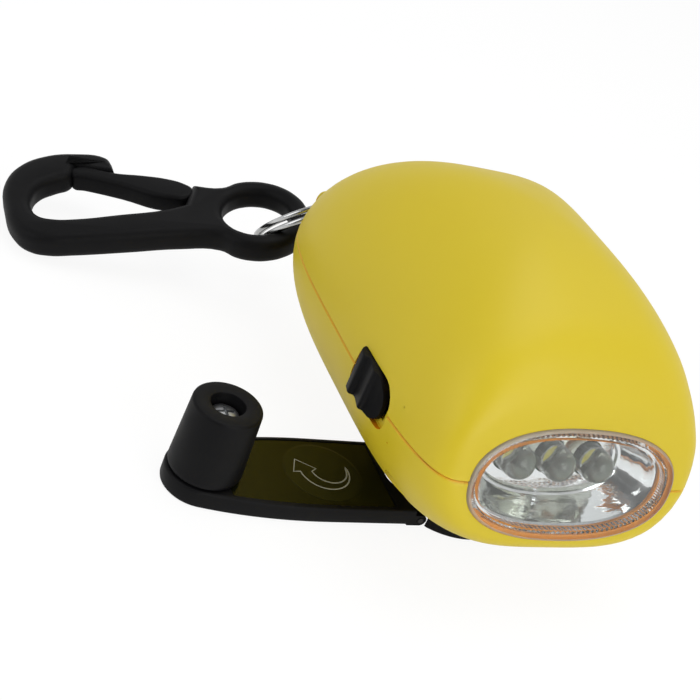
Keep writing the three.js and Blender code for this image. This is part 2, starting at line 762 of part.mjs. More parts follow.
// Crank hub: a disc with a channel across its underside for the folded arm, a boss, a shaft and a hinge tongue
const tongueEdgeX = hingeX - hingeReach;
const hubDisc = cut(
  rod(hubRadius, 0, hubThickness, 0, 0, largeSides),
  box(-overrun, overrun, -channelHalfWidth, channelHalfWidth, -overrun, channelHeight),
  box(-overrun, tongueEdgeX, -overrun, overrun, -overrun, overrun),
);
const hubTongue = join(
  box(tongueEdgeX, hingeX + hingeReach, -tongueHalfWidth, tongueHalfWidth, hingeZ, hubThickness),
  rodAlongY(knuckleRadius, -tongueHalfWidth, tongueHalfWidth, hingeX, hingeZ),
);
const hingeBore = hingePinRadius + hingePinClearance;
addPart(
  'crank_hub',
  cut(
    join(
      hubDisc,
      rod(hubBossRadius, 0, hubThickness, 0, 0, largeSides),
      rod(hubShaftRadius, channelHeight, hubShaftTop, 0, 0, largeSides),
      rod(hubSpigotRadius, channelHeight, hubSpigotTop, 0, 0, largeSides),
      hubTongue,
    ),
    rod(hubScrewShankRadius + gap, hubSpigotTop - hubScrewReach, overrun),
    rodAlongY(hingeBore, -overrun, overrun, hingeX, hingeZ),
  ),
  0x1b1b1d, 0.5, 0,
);

// Hinge pin through the hub's tongue and the arm's knuckles
const knuckleOuter = channelHalfWidth - gap;
addPart(
  'hinge_pin',
  rodAlongY(hingePinRadius, -knuckleOuter, knuckleOuter, hingeX, hingeZ, 12),
  0xb4b6b8, 0.3, 0.95,
);

// Screw that holds the drive gear on the hub
const hubScrewSeat = driveGearBottom + driveGearThickness + gap;
addPart(
  'hub_screw',
  turned([
    [0, hubSpigotTop - hubScrewReach + gap],
    [hubScrewShankRadius, hubSpigotTop - hubScrewReach + gap],
    [hubScrewShankRadius, hubScrewSeat],
    [hubScrewHeadRadius, hubScrewSeat],
    [hubScrewHeadRadius, hubScrewSeat + hubScrewHeadHeight],
    [0, hubScrewSeat + hubScrewHeadHeight],
  ], largeSides),
  0xb4b6b8, 0.35, 0.9,
);

// Crank arm: a flat lever with a round end under the knob, two hinge knuckles, a round notch between them and a
// hole under the label that clears the boss
const armInnerX = tongueEdgeX - gap;
function armOutline(margin, innerX) {
  const halfWidth = armHalfWidth - margin;
  const endRadius = armEndRadius - margin;
  const bendX = knobX - endRadius * Math.sin(armEndTurn);
  const bendY = endRadius * Math.cos(armEndTurn);
  const bendControlX = bendX + (halfWidth - bendY) / Math.tan(armEndTurn);
  const shape = new THREE.Shape();
  shape.moveTo(innerX, -halfWidth);
  shape.lineTo(innerX, halfWidth);
  shape.lineTo(armTaperX, halfWidth);
  shape.quadraticCurveTo(bendControlX, halfWidth, bendX, bendY);
  shape.absarc(knobX, 0, endRadius, Math.PI / 2 + armEndTurn, 1.5 * Math.PI - armEndTurn, false);
  shape.quadraticCurveTo(bendControlX, -halfWidth, armTaperX, -halfWidth);
  shape.lineTo(innerX, -halfWidth);
  return shape;
}
const armHoleX = 2 * hingeX;
const labelFloor = armThickness - 2 * labelThickness;
function labelOutline(margin) {
  return common(
    prism(armOutline(labelMargin + margin, labelInnerX - margin), 0, armThickness),
    box(labelOuterX + margin, labelInnerX - margin, -overrun, overrun, -overrun, overrun),
  );
}
const knuckles = [-1, 1].map((side) => {
  const inner = side * (tongueHalfWidth + gap);
  const outer = side * knuckleOuter;
  const [y0, y1] = side < 0 ? [outer, inner] : [inner, outer];
  return join(
    rodAlongY(knuckleRadius, y0, y1, hingeX, hingeZ),
    box(armInnerX - hingeReach, hingeX, y0, y1, hingeZ - knuckleRadius, hingeZ + knuckleRadius),
  );
});
addPart(
  'crank_arm',
  cut(
    join(prism(armOutline(0, armInnerX), 0, armThickness, armEdgeRadius), ...knuckles),
    rod(armHoleRadius, -overrun, overrun, armHoleX, 0, largeSides),
    rod(armNotchRadius, -overrun, overrun, hingeX, 0, largeSides),
    common(labelOutline(0), box(-overrun, overrun, -overrun, overrun, labelFloor, overrun)),
    rod(knobScrewShankRadius + gap, knobScrewFoot - gap, overrun, knobX),
    rodAlongY(hingeBore, -overrun, overrun, hingeX, hingeZ),
  ),
  0x1b1b1d, 0.5, 0,
);

// Label film in the arm's recess
addPart(
  'arm_label',
  common(
    labelOutline(gap),
    box(-overrun, overrun, -overrun, overrun, armThickness - 1.5 * labelThickness, armThickness - labelThickness / 2),
  ),
  0x23281a, 0.2, 0,
);

// Knob: a tapered grip that spins on its screw
const knobBottom = armThickness + gap;
const knobTop = knobBottom + knobHeight;
const screwBore = knobScrewShankRadius + gap;
addPart(
  'crank_knob',
  turned([
    [screwBore, knobBottom],
    [knobBaseRadius - knobEdgeRadius / 2, knobBottom],
    [knobBaseRadius, knobBottom + knobEdgeRadius / 2],
    [knobTopRadius, knobTop - knobEdgeRadius],
    [knobTopRadius - knobEdgeRadius / 3, knobTop - knobEdgeRadius / 3],
    [knobTopRadius - knobEdgeRadius, knobTop],
    [knobRecessRadius + knobEdgeRadius / 2, knobTop],
    [knobRecessRadius, knobTop - knobEdgeRadius / 2],
    [knobRecessRadius, knobTop - knobRecessDepth],
    [screwBore, knobTop - knobRecessDepth],
    [screwBore, knobBottom],
  ], largeSides),
  0x1b1b1d, 0.45, 0,
).position.x = knobX;

// Knob screw, its head low in the knob's recess and its shank in the arm
const knobScrewSeat = knobTop - knobRecessDepth + gap;
addPart(
  'knob_screw',
  turned([
    [0, knobScrewFoot],
    [knobScrewShankRadius, knobScrewFoot],
    [knobScrewShankRadius, knobScrewSeat],
    [knobRecessRadius - gap, knobScrewSeat],
    [knobRecessRadius - gap, knobScrewSeat + knobScrewHeadHeight / 2],
    [knobRecessRadius - 2 * gap, knobScrewSeat + knobScrewHeadHeight],
    [0, knobScrewSeat + knobScrewHeadHeight],
  ]),
  0xb4b6b8, 0.3, 0.95,
).position.x = knobX;

// A spur gear's outline: three points on each flank, on an involute above the base circle.
function gearShape(module, teeth) {
  const pitch = pitchRadius(module, teeth);
  const base = pitch * Math.cos(pressureAngle);
  const involute = (radius) => {
    const slope = Math.acos(Math.min(1, base / radius));
    return Math.tan(slope) - slope;
  };
  const halfTooth = Math.PI / (2 * teeth) - (backlashShare * module) / (2 * pitch);
  const halfAt = (radius) => halfTooth + involute(pitch) - involute(radius);
  const radii = [pitch - dedendumShare * module, pitch, pitch + addendumShare * module];
  const points = [];
  for (let tooth = 0; tooth < teeth; tooth += 1) {
    const middle = (2 * Math.PI * tooth) / teeth;
    const flank = (side) => radii.map((radius) => [radius, middle + side * halfAt(radius)]);
    points.push(...flank(-1), ...flank(1).toReversed());
  }
  return new THREE.Shape(points.map(([r, a]) => new THREE.Vector2(r * Math.cos(a), r * Math.sin(a))));
}

// The turn that meshes a gear with the one that drives it, both seen from above.
function meshedTurn(driver, driven, driverTurn, driverTeeth, drivenTeeth) {
  const line = Math.atan2(driven[1] - driver[1], driven[0] - driver[0]);
  return line + Math.PI - Math.PI / drivenTeeth - ((driverTurn - line) * driverTeeth) / drivenTeeth;
}

// Drive gear on the hub
addPart(
  'drive_gear',
  cut(
    prism(gearShape(driveModule, wheelTeeth), driveGearBottom, driveGearBottom + driveGearThickness),
    rod(hubSpigotRadius + gap, 0, overrun, 0, 0, largeSides),
  ),
  0xe4e1d6, 0.5, 0,
);

// Idler gears: a pinion under a wheel, each moulded in one piece
const middleWheelTop = middleWheelBottom + middleWheelThickness;
const fastWheelBottom = secondPinionBottom + secondPinionLength;
const fastWheelTop = fastWheelBottom + fastWheelThickness;
const idlerBottom = axleBossTop + gap;
const idlerTop = plateBottom - gap;
const axleBore = axleRadius + axleClearance;
const idlerOneTurn = meshedTurn(cranked, idlerOne, 0, wheelTeeth, pinionTeeth);
const idlerTwoTurn = meshedTurn(idlerOne, idlerTwo, idlerOneTurn, wheelTeeth, pinionTeeth);
const rotorTurn = meshedTurn(idlerTwo, rotor, idlerTwoTurn, wheelTeeth, pinionTeeth);
const idlerGearOne = addPart(
  'idler_gear_1',
  cut(
    join(
      prism(gearShape(driveModule, pinionTeeth), idlerBottom, middleWheelBottom),
      prism(gearShape(middleModule, wheelTeeth), middleWheelBottom, middleWheelTop),
      rod(idlerCollarRadius, middleWheelBottom, idlerTop),
    ),
    rod(axleBore, 0, overrun),
  ),
  0xe4e1d6, 0.5, 0,
);
idlerGearOne.position.set(idlerOne[0], idlerOne[1], 0);
idlerGearOne.rotation.z = idlerOneTurn;
const idlerGearTwo = addPart(
  'idler_gear_2',
  cut(
    join(
      rod(idlerCollarRadius, idlerBottom, secondPinionBottom + gap),
      prism(gearShape(middleModule, pinionTeeth), secondPinionBottom, fastWheelBottom),
      prism(gearShape(fastModule, wheelTeeth), fastWheelBottom, fastWheelTop),
      rod(idlerCollarRadius, fastWheelBottom, idlerTop),
    ),
    rod(axleBore, 0, overrun),
  ),
  0xe4e1d6, 0.5, 0,
);
idlerGearTwo.position.set(idlerTwo[0], idlerTwo[1], 0);
idlerGearTwo.rotation.z = idlerTwoTurn;

// Idler axles, from the bosses of the lower shell to the gear plate
const axleFoot = axleBossTop - axleSeatDepth + gap;
const plateTop = plateBottom + plateThickness;
idlerPlaces.forEach(([x, y], i) => {
  addPart(`idler_axle_${i + 1}`, rod(axleRadius, axleFoot, plateTop), 0xb4b6b8, 0.3, 0.95).position.set(x, y, 0);
});

// Gear plate: carries the axles' top ends, the generator and the cell tray
const padPlaces = [
  [rotor[0] - coreReachLeft + padRadius, rotor[1] - coreHalfDepth + padRadius],
  [rotor[0] - coreReachLeft + padRadius, rotor[1] + coreHalfDepth - padRadius],
  [rotor[0] + windowLeft, rotor[1] - coreHalfDepth + padRadius],
  [rotor[0] + windowLeft, rotor[1] + coreHalfDepth - padRadius],
];
addPart(
  'gear_plate',
  cut(
    join(
      box(-plateHalfWidth, plateHalfWidth, plateFrontY, plateWideEndY, plateBottom, plateTop),
      box(-plateTailHalfWidth, plateTailHalfWidth, plateFrontY, plateTailEndY, plateBottom, plateTop),
      ...pillarPlaces.map(([x, y]) => rod(pillarRadius + shellWall / 4, plateBottom, plateTop, x, y)),
      ...padPlaces.map(([x, y]) => rod(padRadius, plateBottom, coreBottom - gap, x, y)),
    ),
    ...pillarPlaces.map(([x, y]) => rod(plateScrewShankRadius + gap, 0, overrun, x, y)),
    ...idlerPlaces.map(([x, y]) => rod(axleBore, 0, overrun, x, y)),
    rod(axleRadius + gap, 0, overrun, rotor[0], rotor[1]),
  ),
  0xc4c6c8, 0.45, 0.8,
);

// Gear plate screws
pillarPlaces.forEach(([x, y], i) => {
  const screw = turned([
    [0, pillarTop - plateScrewReach],
    [plateScrewShankRadius, pillarTop - plateScrewReach],
    [plateScrewShankRadius, plateTop + gap],
    [plateScrewHeadRadius, plateTop + gap],
    [plateScrewHeadRadius, plateTop + gap + plateScrewHeadHeight],
    [0, plateTop + gap + plateScrewHeadHeight],
  ]);
  addPart(`plate_screw_${i + 1}`, screw, 0xb4b6b8, 0.35, 0.9).position.set(x, y, 0);
});

// Rotor: shaft with its pinion, and the ring magnet on it
const rotorPinionBottom = fastWheelBottom - gap;
const rotorShaft = addPart(
  'rotor_shaft',
  join(
    prism(gearShape(fastModule, pinionTeeth), rotorPinionBottom, rotorPinionBottom + rotorPinionLength),
    rod(axleRadius, rotorPinionBottom, rotorShaftTop),
  ),
  0xb4b6b8, 0.35, 0.9,
);
rotorShaft.position.set(rotor[0], rotor[1], 0);
rotorShaft.rotation.z = rotorTurn;
addPart(
  'rotor_magnet',
  cut(
    rod(magnetRadius, magnetBottom, magnetBottom + magnetHeight, 0, 0, largeSides),
    rod(axleRadius + gap, 0, overrun),
  ),
  0x5a5c60, 0.5, 0.6,
).position.set(rotor[0], rotor[1], 0);

// Stator core: a C of laminations whose two ends wrap the magnet
const coreTop = coreBottom + coreThickness;
addPart(
  'stator_core',
  cut(
    box(
      rotor[0] - coreReachLeft, rotor[0] + coreReachRight,
      rotor[1] - coreHalfDepth, rotor[1] + coreHalfDepth, coreBottom, coreTop,
    ),
    rod(magnetRadius + poleClearance, 0, overrun, rotor[0], rotor[1], largeSides),
    box(
      rotor[0] + windowLeft, rotor[0] + windowRight,
      rotor[1] - windowHalfDepth, rotor[1] + windowHalfDepth, 0, overrun,
    ),
    box(-overrun, rotor[0] + windowLeft, rotor[1] - poleGap / 2, rotor[1] + poleGap / 2, 0, overrun),
  ),
  0x8d9094, 0.4, 0.9,
);

// Bobbin and coil round the core's far leg
const legX = rotor[0] + (windowRight + coreReachRight) / 2;
const legHalfWidth = (coreReachRight - windowRight) / 2;
const coreMiddle = (coreBottom + coreTop) / 2;
const around = (halfWidth, halfHeight, y0, y1) => box(
  legX - halfWidth, legX + halfWidth, y0, y1, coreMiddle - halfHeight, coreMiddle + halfHeight,
);
const boreHalfWidth = legHalfWidth + gap;
const boreHalfHeight = coreThickness / 2 + gap;
const tubeHalfWidth = boreHalfWidth + bobbinWall;
const tubeHalfHeight = boreHalfHeight + bobbinWall;
const bobbinFront = rotor[1] - bobbinHalfLength;
const bobbinRear = rotor[1] + bobbinHalfLength;
addPart(
  'coil_bobbin',
  cut(
    join(
      around(tubeHalfWidth, tubeHalfHeight, bobbinFront, bobbinRear),
      around(coilHalfWidth, coilHalfHeight, bobbinFront, bobbinFront + bobbinFlange),
      around(coilHalfWidth, coilHalfHeight, bobbinRear - bobbinFlange, bobbinRear),
    ),
    around(boreHalfWidth, boreHalfHeight, -overrun, overrun),
  ),
  0xd8d2c0, 0.6, 0,
);
addPart(
  'stator_coil',
  cut(
    around(coilHalfWidth, coilHalfHeight, bobbinFront + bobbinFlange + gap, bobbinRear - bobbinFlange - gap),
    around(tubeHalfWidth + gap / 2, tubeHalfHeight + gap / 2, -overrun, overrun),
  ),
  0xa8622f, 0.4, 0.7,
);

// Bearing bridge over the magnet, on two legs that stand on the gear plate
addPart(
  'bearing_bridge',
  cut(
    box(
      rotor[0] - bridgeHalfWidth, rotor[0] + bridgeHalfWidth,
      bridgeFrontY, bridgeRearY, plateTop + gap, bridgeBottom + bridgeThickness,
    ),
    box(-overrun, overrun, bridgeFrontY + bridgeLeg, bridgeRearY - bridgeLeg, 0, bridgeBottom),
    rod(axleRadius + gap, 0, overrun, rotor[0], rotor[1]),
  ),
  0xb98f45, 0.45, 0.85,
);

// Tray for the button cells, and the cells side by side in it
const cellPitch = cellThickness + gap;
const cellRowHalf = (cellCount * cellPitch) / 2;
const trayInnerRadius = cellRadius + gap;
addPart(
  'cell_holder',
  cut(
    box(
      -cellRowHalf - trayWall, cellRowHalf + trayWall,
      cellY - trayInnerRadius - traySideWall, cellY + trayInnerRadius + traySideWall,
      plateTop + gap, trayTopZ,
    ),
    rodAlongX(trayInnerRadius, -cellRowHalf, cellRowHalf, cellY, cellZ, largeSides),
  ),
  0x2b2c2e, 0.6, 0,
);
for (let i = 0; i < cellCount; i += 1) {
  const middle = (i - (cellCount - 1) / 2) * cellPitch;
  addPart(
    `cell_${i + 1}`,
    rodAlongX(cellRadius, middle - cellThickness / 2, middle + cellThickness / 2, cellY, cellZ, 28),
    0xc9cbcd, 0.3, 0.95,
  );
}

// Circuit board hung from the posts, with its smoothing capacitor and its two screws
const boardTop = boardBottom + boardThickness;
addPart(
  'circuit_board',
  cut(
    box(-boardHalfWidth, boardHalfWidth, boardFrontY, boardRearY, boardBottom, boardTop),
    ...postPlaces.map(([x, y]) => rod(boardScrewShankRadius + gap, 0, overrun, x, y)),
  ),
  0x2f6b3c, 0.6, 0,
);
addPart(
  'capacitor',
  rod(capacitorRadius, boardTop + gap, boardTop + gap + capacitorHeight),
  0x30343c, 0.4, 0.2,
).position.set(capacitorX, capacitorY, 0);
postPlaces.forEach(([x, y], i) => {
  const headTop = boardBottom - gap;
  const screw = turned([
    [0, headTop - boardScrewHeadHeight],
    [boardScrewHeadRadius, headTop - boardScrewHeadHeight],
    [boardScrewHeadRadius, headTop],
    [boardScrewShankRadius, headTop],
    [boardScrewShankRadius, headTop + boardScrewLength],
    [0, headTop + boardScrewLength],
  ]);
  addPart(`board_screw_${i + 1}`, screw, 0xb4b6b8, 0.35, 0.9).position.set(x, y, 0);
});

// Split ring: one flat wire wound nearly twice round, climbing from the first loop to the second
const ringEnd = 2 - ringEndShare;
const ringSteps = Math.round(ringStepsPerLoop * ringEnd);
const wireSections = Array.from({ length: ringSteps + 1 }, (_, i) => {
  const loops = (ringEnd * i) / ringSteps;
  const climb = THREE.MathUtils.smoothstep(loops, 1 - ringClimbShare, 1);
  const turn = 2 * Math.PI * (loops + ringStartTurn);
  const middleHeight = ringPitch * (climb - 0.5);
  const flat = ringWireFlatShare;
  return [[1, 0], [flat, 1], [-flat, 1], [-1, 0], [-flat, -1], [flat, -1]].map(([across, up]) => {
    const radius = ringMeanRadius + (across * ringWireWidth) / 2;
    return new THREE.Vector3(
      radius * Math.cos(turn),
      ringMeanRadius + radius * Math.sin(turn),
      middleHeight + (up * ringWireHeight) / 2,
    );
  });
});
addPart(
  'split_ring',
  loft(centroid(wireSections[0]), wireSections, centroid(wireSections.at(-1))),
  0xc2c4c6, 0.25, 1, ringGroup,
);
let ringLeastGap = Infinity;
wireSections.forEach((section, i) => wireSections.slice(i + ringStepsPerLoop / 2).forEach((other) => {
  section.forEach((a) => other.forEach((b) => { ringLeastGap = Math.min(ringLeastGap, a.distanceTo(b)); }));
}));
console.log(`split_ring: least gap between its loops ${ringLeastGap.toFixed(2)} mm`);

// Snap hook: moulded body with an eye for the ring, a long throat and a nose
const hookGroup = new THREE.Group();
hookGroup.position.set(
  ringMeanRadius * Math.cos(hookPlaceOnRing),
  ringMeanRadius + ringMeanRadius * Math.sin(hookPlaceOnRing),
  0,
);
hookGroup.rotation.set(...hookAngles);
ringGroup.add(hookGroup);
const hookPoint = ([along, across]) => new THREE.Vector2(along * hookReach, across * hookReach);
const [eyeLower, eyeUpper] = hookEyeEndShares.map(hookPoint);
const gatePivot = hookPoint(gatePivotShares);
const hookShape = new THREE.Shape();
hookShape.setFromPoints(arcPoints(hookEyeRadius, eyeLower.angle(), eyeUpper.angle() + 2 * Math.PI, hookEyeSides));
hookNeckShares.map(hookPoint).forEach((point) => hookShape.lineTo(point.x, point.y));
hookShape.splineThru(hookInnerShares.map(hookPoint));
hookNoseShares.map(hookPoint).forEach((point) => hookShape.lineTo(point.x, point.y));
hookShape.splineThru(hookOuterShares.map(hookPoint));
hookShape.closePath();
hookShape.holes.push(new THREE.Path(arcPoints(hookEyeHoleRadius, 2 * Math.PI, 0, hookEyeSides)));
const toSeat = [-hookSeatAlong, hookSeatAcross, 0];
addPart(
  'snap_hook',
  cut(
    prism(hookShape, -hookThickness / 2, hookThickness / 2, hookEdge, hookCurveSegments),
    rod(gateKnuckleRadius + gap, -overrun, overrun, gatePivot.x, gatePivot.y),
  ).translate(toSeat),
  0x161618, 0.42, 0, hookGroup,
);

// Gate: the hook's thin tongue, rooted at the neck, that springs shut inside the nose
const gateShape = new THREE.Shape();
gateShape.moveTo(gatePivot.x, gatePivot.y - gateKnuckleRadius);
gateShape.splineThru(gateInnerShares.map(hookPoint));
gateOuterShares.map(hookPoint).forEach((point) => gateShape.lineTo(point.x, point.y));
gateShape.absarc(gatePivot.x, gatePivot.y, gateKnuckleRadius, Math.PI / 2, -Math.PI / 2, true);
addPart(
  'hook_gate',
  solid(prism(gateShape, -gateThickness / 2, gateThickness / 2, gateEdge, 4)).translate(toSeat),
  0x161618, 0.42, 0, hookGroup,
);

export default flashlight;
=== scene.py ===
import math

import bmesh
import bpy
from mathutils import Matrix, Vector


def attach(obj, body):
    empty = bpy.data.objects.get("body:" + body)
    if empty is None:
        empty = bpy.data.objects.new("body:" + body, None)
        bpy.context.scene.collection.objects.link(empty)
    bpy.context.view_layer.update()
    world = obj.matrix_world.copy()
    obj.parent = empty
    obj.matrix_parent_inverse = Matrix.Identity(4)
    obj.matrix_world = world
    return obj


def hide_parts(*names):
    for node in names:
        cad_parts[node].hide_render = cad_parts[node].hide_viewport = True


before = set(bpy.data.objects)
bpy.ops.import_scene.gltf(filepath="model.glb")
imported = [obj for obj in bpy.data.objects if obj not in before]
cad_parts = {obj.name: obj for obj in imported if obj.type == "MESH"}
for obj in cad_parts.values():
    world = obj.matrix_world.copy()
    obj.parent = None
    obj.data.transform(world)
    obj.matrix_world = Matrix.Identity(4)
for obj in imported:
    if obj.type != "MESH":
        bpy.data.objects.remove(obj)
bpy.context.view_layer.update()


# Yellow shell halves
# The pebble shaped body is moulded in two halves of satin ABS that meet in a fine groove all round.
# Four screws from below pull them together, and the flat front carries the lens in a shallow seat.
half_width = 26.0
centre_y = 8.7
rear_reach = 38.3
front_reach = 40.9
roof_height = 26.3
floor_depth = 19.7
parting_z = 23.6
plan_exponent = 3.55
roof_exponent = 1.84
floor_exponent = 2.01
wall = 2.0
groove_depth = 0.2
groove_gap = 0.03
front_frame = Matrix.Translation((0, -24.5, 23.8)) @ Matrix.Rotation(math.radians(75.7), 4, "X")
to_face = front_frame.inverted()
oval_exponent = 2.35
# the edge round the flat front is tight below the lens and softer above and beside it
face_rounding = 2.6
upper_rounding, upper_start, upper_span = 4.4, 7, 8
side_rounding, side_start, side_span = 1.6, 17, 5


def linear(hex_colour):
    """An sRGB hex colour as the linear values that a shader takes."""
    shares = [int(hex_colour[i : i + 2], 16) / 255 for i in (0, 2, 4)]
    return [s / 12.92 if s <= 0.04045 else ((s + 0.055) / 1.055) ** 2.4 for s in shares] + [1]


def add_node(tree, kind, inputs, **settings):
    """Adds one shader node, sets its properties, and sets or links its inputs."""
    added = tree.nodes.new("ShaderNode" + kind)
    for name, value in settings.items():
        setattr(added, name, value)
    for socket, value in inputs.items():
        if isinstance(value, bpy.types.NodeSocket):
            tree.links.new(value, added.inputs[socket])
        else:
            added.inputs[socket].default_value = value
    return added


def start_material(name, **shader_values):
    """A new material, and its look: the node tree, the shader, and the place on the object in metres."""
    material = bpy.data.materials.new(name)
    material.use_nodes = True
    tree = material.node_tree
    shader = tree.nodes["Principled BSDF"]
    for socket, value in shader_values.items():
        shader.inputs[socket.replace("_", " ")].default_value = value
    place = add_node(tree, "TexCoord", {}).outputs["Object"]
    return material, (tree, shader, place)


def add_bump(look, height, strength, depth_mm):
    """A bump of a real depth on the surface, from heights between 0 and 1."""
    tree, shader = look[:2]
    bump = add_node(tree, "Bump", {"Strength": strength, "Distance": depth_mm / 1000, "Height": height})
    tree.links.new(bump.outputs["Normal"], shader.inputs["Normal"])


def set_grain(look, grain_mm, depth_mm, strength):
    """Fine moulded or blasted grain: a bump of that real size and depth."""
    tree, shader, place = look
    grain = add_node(tree, "TexNoise", {"Vector": place, "Scale": 1000 / grain_mm, "Detail": 3})
    add_bump(look, grain.outputs["Fac"], strength, depth_mm)


def vary_roughness(look, low, high, patch_mm):
    """Roughness that drifts between two values over patches of a real size."""
    tree, shader, place = look
    patches = add_node(tree, "TexNoise", {"Vector": place, "Scale": 1000 / patch_mm, "Detail": 4})
    fac = patches.outputs["Fac"]
    spread = add_node(tree, "MapRange", {"Value": fac, "To Min": low, "To Max": high})
    tree.links.new(spread.outputs["Result"], shader.inputs["Roughness"])


def vary_colour(look, first, second, patch_mm):
    """Colour that drifts between two tones over patches of a real size."""
    tree, shader, place = look
    patches = add_node(tree, "TexNoise", {"Vector": place, "Scale": 1000 / patch_mm, "Detail": 5})
    tones = add_node(
        tree, "Mix", {0: patches.outputs["Fac"], 6: linear(first), 7: linear(second)}, data_type="RGBA"
    )
    tree.links.new(tones.outputs[2], shader.inputs["Base Color"])
    return tones.outputs[2]


def reach_of(angle, exponent):
    """How far a unit superellipse reaches in one direction."""
    return (abs(math.cos(angle)) ** exponent + abs(math.sin(angle)) ** exponent) ** (-1 / exponent)


def pebble(inset):
    """The body's closed form, drawn in by an inset, its front flattened with a soft edge."""
    made = bmesh.new()
    bmesh.ops.create_uvsphere(made, u_segments=160, v_segments=88, radius=1)
    for vertex in made.verts:
        turn = math.atan2(vertex.co.y, vertex.co.x)
        lift = math.asin(max(-1, min(1, vertex.co.z)))
        above = lift >= 0
        rise = reach_of(lift, roof_exponent if above else floor_exponent)
        spread = rise * math.cos(lift) * reach_of(turn, plan_exponent)
        height = (roof_height if above else floor_depth) - inset
        reach = (rear_reach if turn > 0 else front_reach) - inset
        local = to_face @ Vector((
            (half_width - inset) * math.cos(turn) * spread,
            centre_y + reach * math.sin(turn) * spread,
            parting_z + height * rise * math.sin(lift),
        ))
        upper_share = max(0, min(1, (local.y - upper_start) / upper_span))
        side_share = max(0, min(1, (abs(local.x) - side_start) / side_span))
        rounding = face_rounding + upper_rounding * upper_share + side_rounding * side_share
        ahead = local.z + inset
        if ahead > rounding:
            local.z = -inset
        elif ahead > -rounding:
            local.z = -((ahead - rounding) ** 2) / (4 * rounding) - inset
        vertex.co = front_frame @ local
    return made


def rods(*groups):
    """Upright closed cylinders as one mesh, from groups of places, radius, bottom and top."""
    made = bmesh.new()
    for places, radius, bottom, top in groups:
        for x, y in places:
            middle = Matrix.Translation((x, y, (bottom + top) / 2))
            bmesh.ops.create_cone(
                made, cap_ends=True, segments=64, radius1=radius, radius2=radius, depth=top - bottom,
                matrix=middle,
            )
    return made


def block(low, high):
    """A closed box between two corners."""
    made = bmesh.new()
    low, high = Vector(low), Vector(high)
    bmesh.ops.create_cube(
        made, size=1, matrix=Matrix.Translation((low + high) / 2) @ Matrix.Diagonal((*(high - low), 1))
    )
    return made


def turned(profile, x=0, y=0, closed=False, steps=96):
    """A round solid from a profile of radius and height pairs."""
    made = bmesh.new()
    line = [made.verts.new((radius, 0, height)) for radius, height in profile]
    pairs = list(zip(line, line[1:])) + ([(line[-1], line[0])] if closed else [])
    edges = [made.edges.new(pair) for pair in pairs]
    bmesh.ops.spin(
        made, geom=line + edges, axis=(0, 0, 1), cent=(0, 0, 0), angle=2 * math.pi, steps=steps,
        use_merge=True,
    )
    bmesh.ops.remove_doubles(made, verts=made.verts, dist=0.0005)
    bmesh.ops.recalc_face_normals(made, faces=made.faces)
    bmesh.ops.translate(made, verts=made.verts, vec=(x, y, 0))
    return made


def carve(solid, tool, operation="DIFFERENCE"):
    """Cuts, joins or keeps what two closed meshes share. Both are used up."""
    holders = []
    for part in (solid, tool):
        bmesh.ops.recalc_face_normals(part, faces=part.faces)
        mesh = bpy.data.meshes.new("carving")
        part.to_mesh(mesh)
        part.free()
        holder = bpy.data.objects.new("carving", mesh)
        bpy.context.scene.collection.objects.link(holder)
        holders.append(holder)
    step = holders[0].modifiers.new("carve", "BOOLEAN")
    step.operation = operation
    step.solver = "EXACT"
    step.object = holders[1]
    bpy.context.view_layer.update()
    seen = holders[0].evaluated_get(bpy.context.evaluated_depsgraph_get())
    result = bmesh.new()
    result.from_mesh(seen.to_mesh())
    seen.to_mesh_clear()
    for holder in holders:
        mesh = holder.data
        bpy.data.objects.remove(holder)
        bpy.data.meshes.remove(mesh)
    return result


def add_piece(name, made, material, body, nodes=(), crease=32):
    """Makes a mesh in millimetres a piece in metres that rides on a body and stands for CAD nodes."""
    bmesh.ops.remove_doubles(made, verts=made.verts, dist=0.0004)
    bmesh.ops.recalc_face_normals(made, faces=made.faces)
    bmesh.ops.scale(made, vec=(0.001, 0.001, 0.001), verts=made.verts)
    mesh = bpy.data.meshes.new(name)
    made.to_mesh(mesh)
    made.free()
    mesh.polygons.foreach_set("use_smooth", [True] * len(mesh.polygons))
    mesh.set_sharp_from_angle(angle=math.radians(crease))
    mesh.materials.append(material)
    piece = bpy.data.objects.new(name, mesh)
    bpy.context.scene.collection.objects.link(piece)
    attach(piece, body)
    if nodes:
        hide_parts(*nodes)
    return piece


def oval_share(spot, wide, high):
    """Where a place on the front lies between the middle, 0, and the edge of an oval, 1."""
    return (abs(spot.x) / wide) ** oval_exponent + (abs(spot.y) / high) ** oval_exponent


tooth_height = 0.16


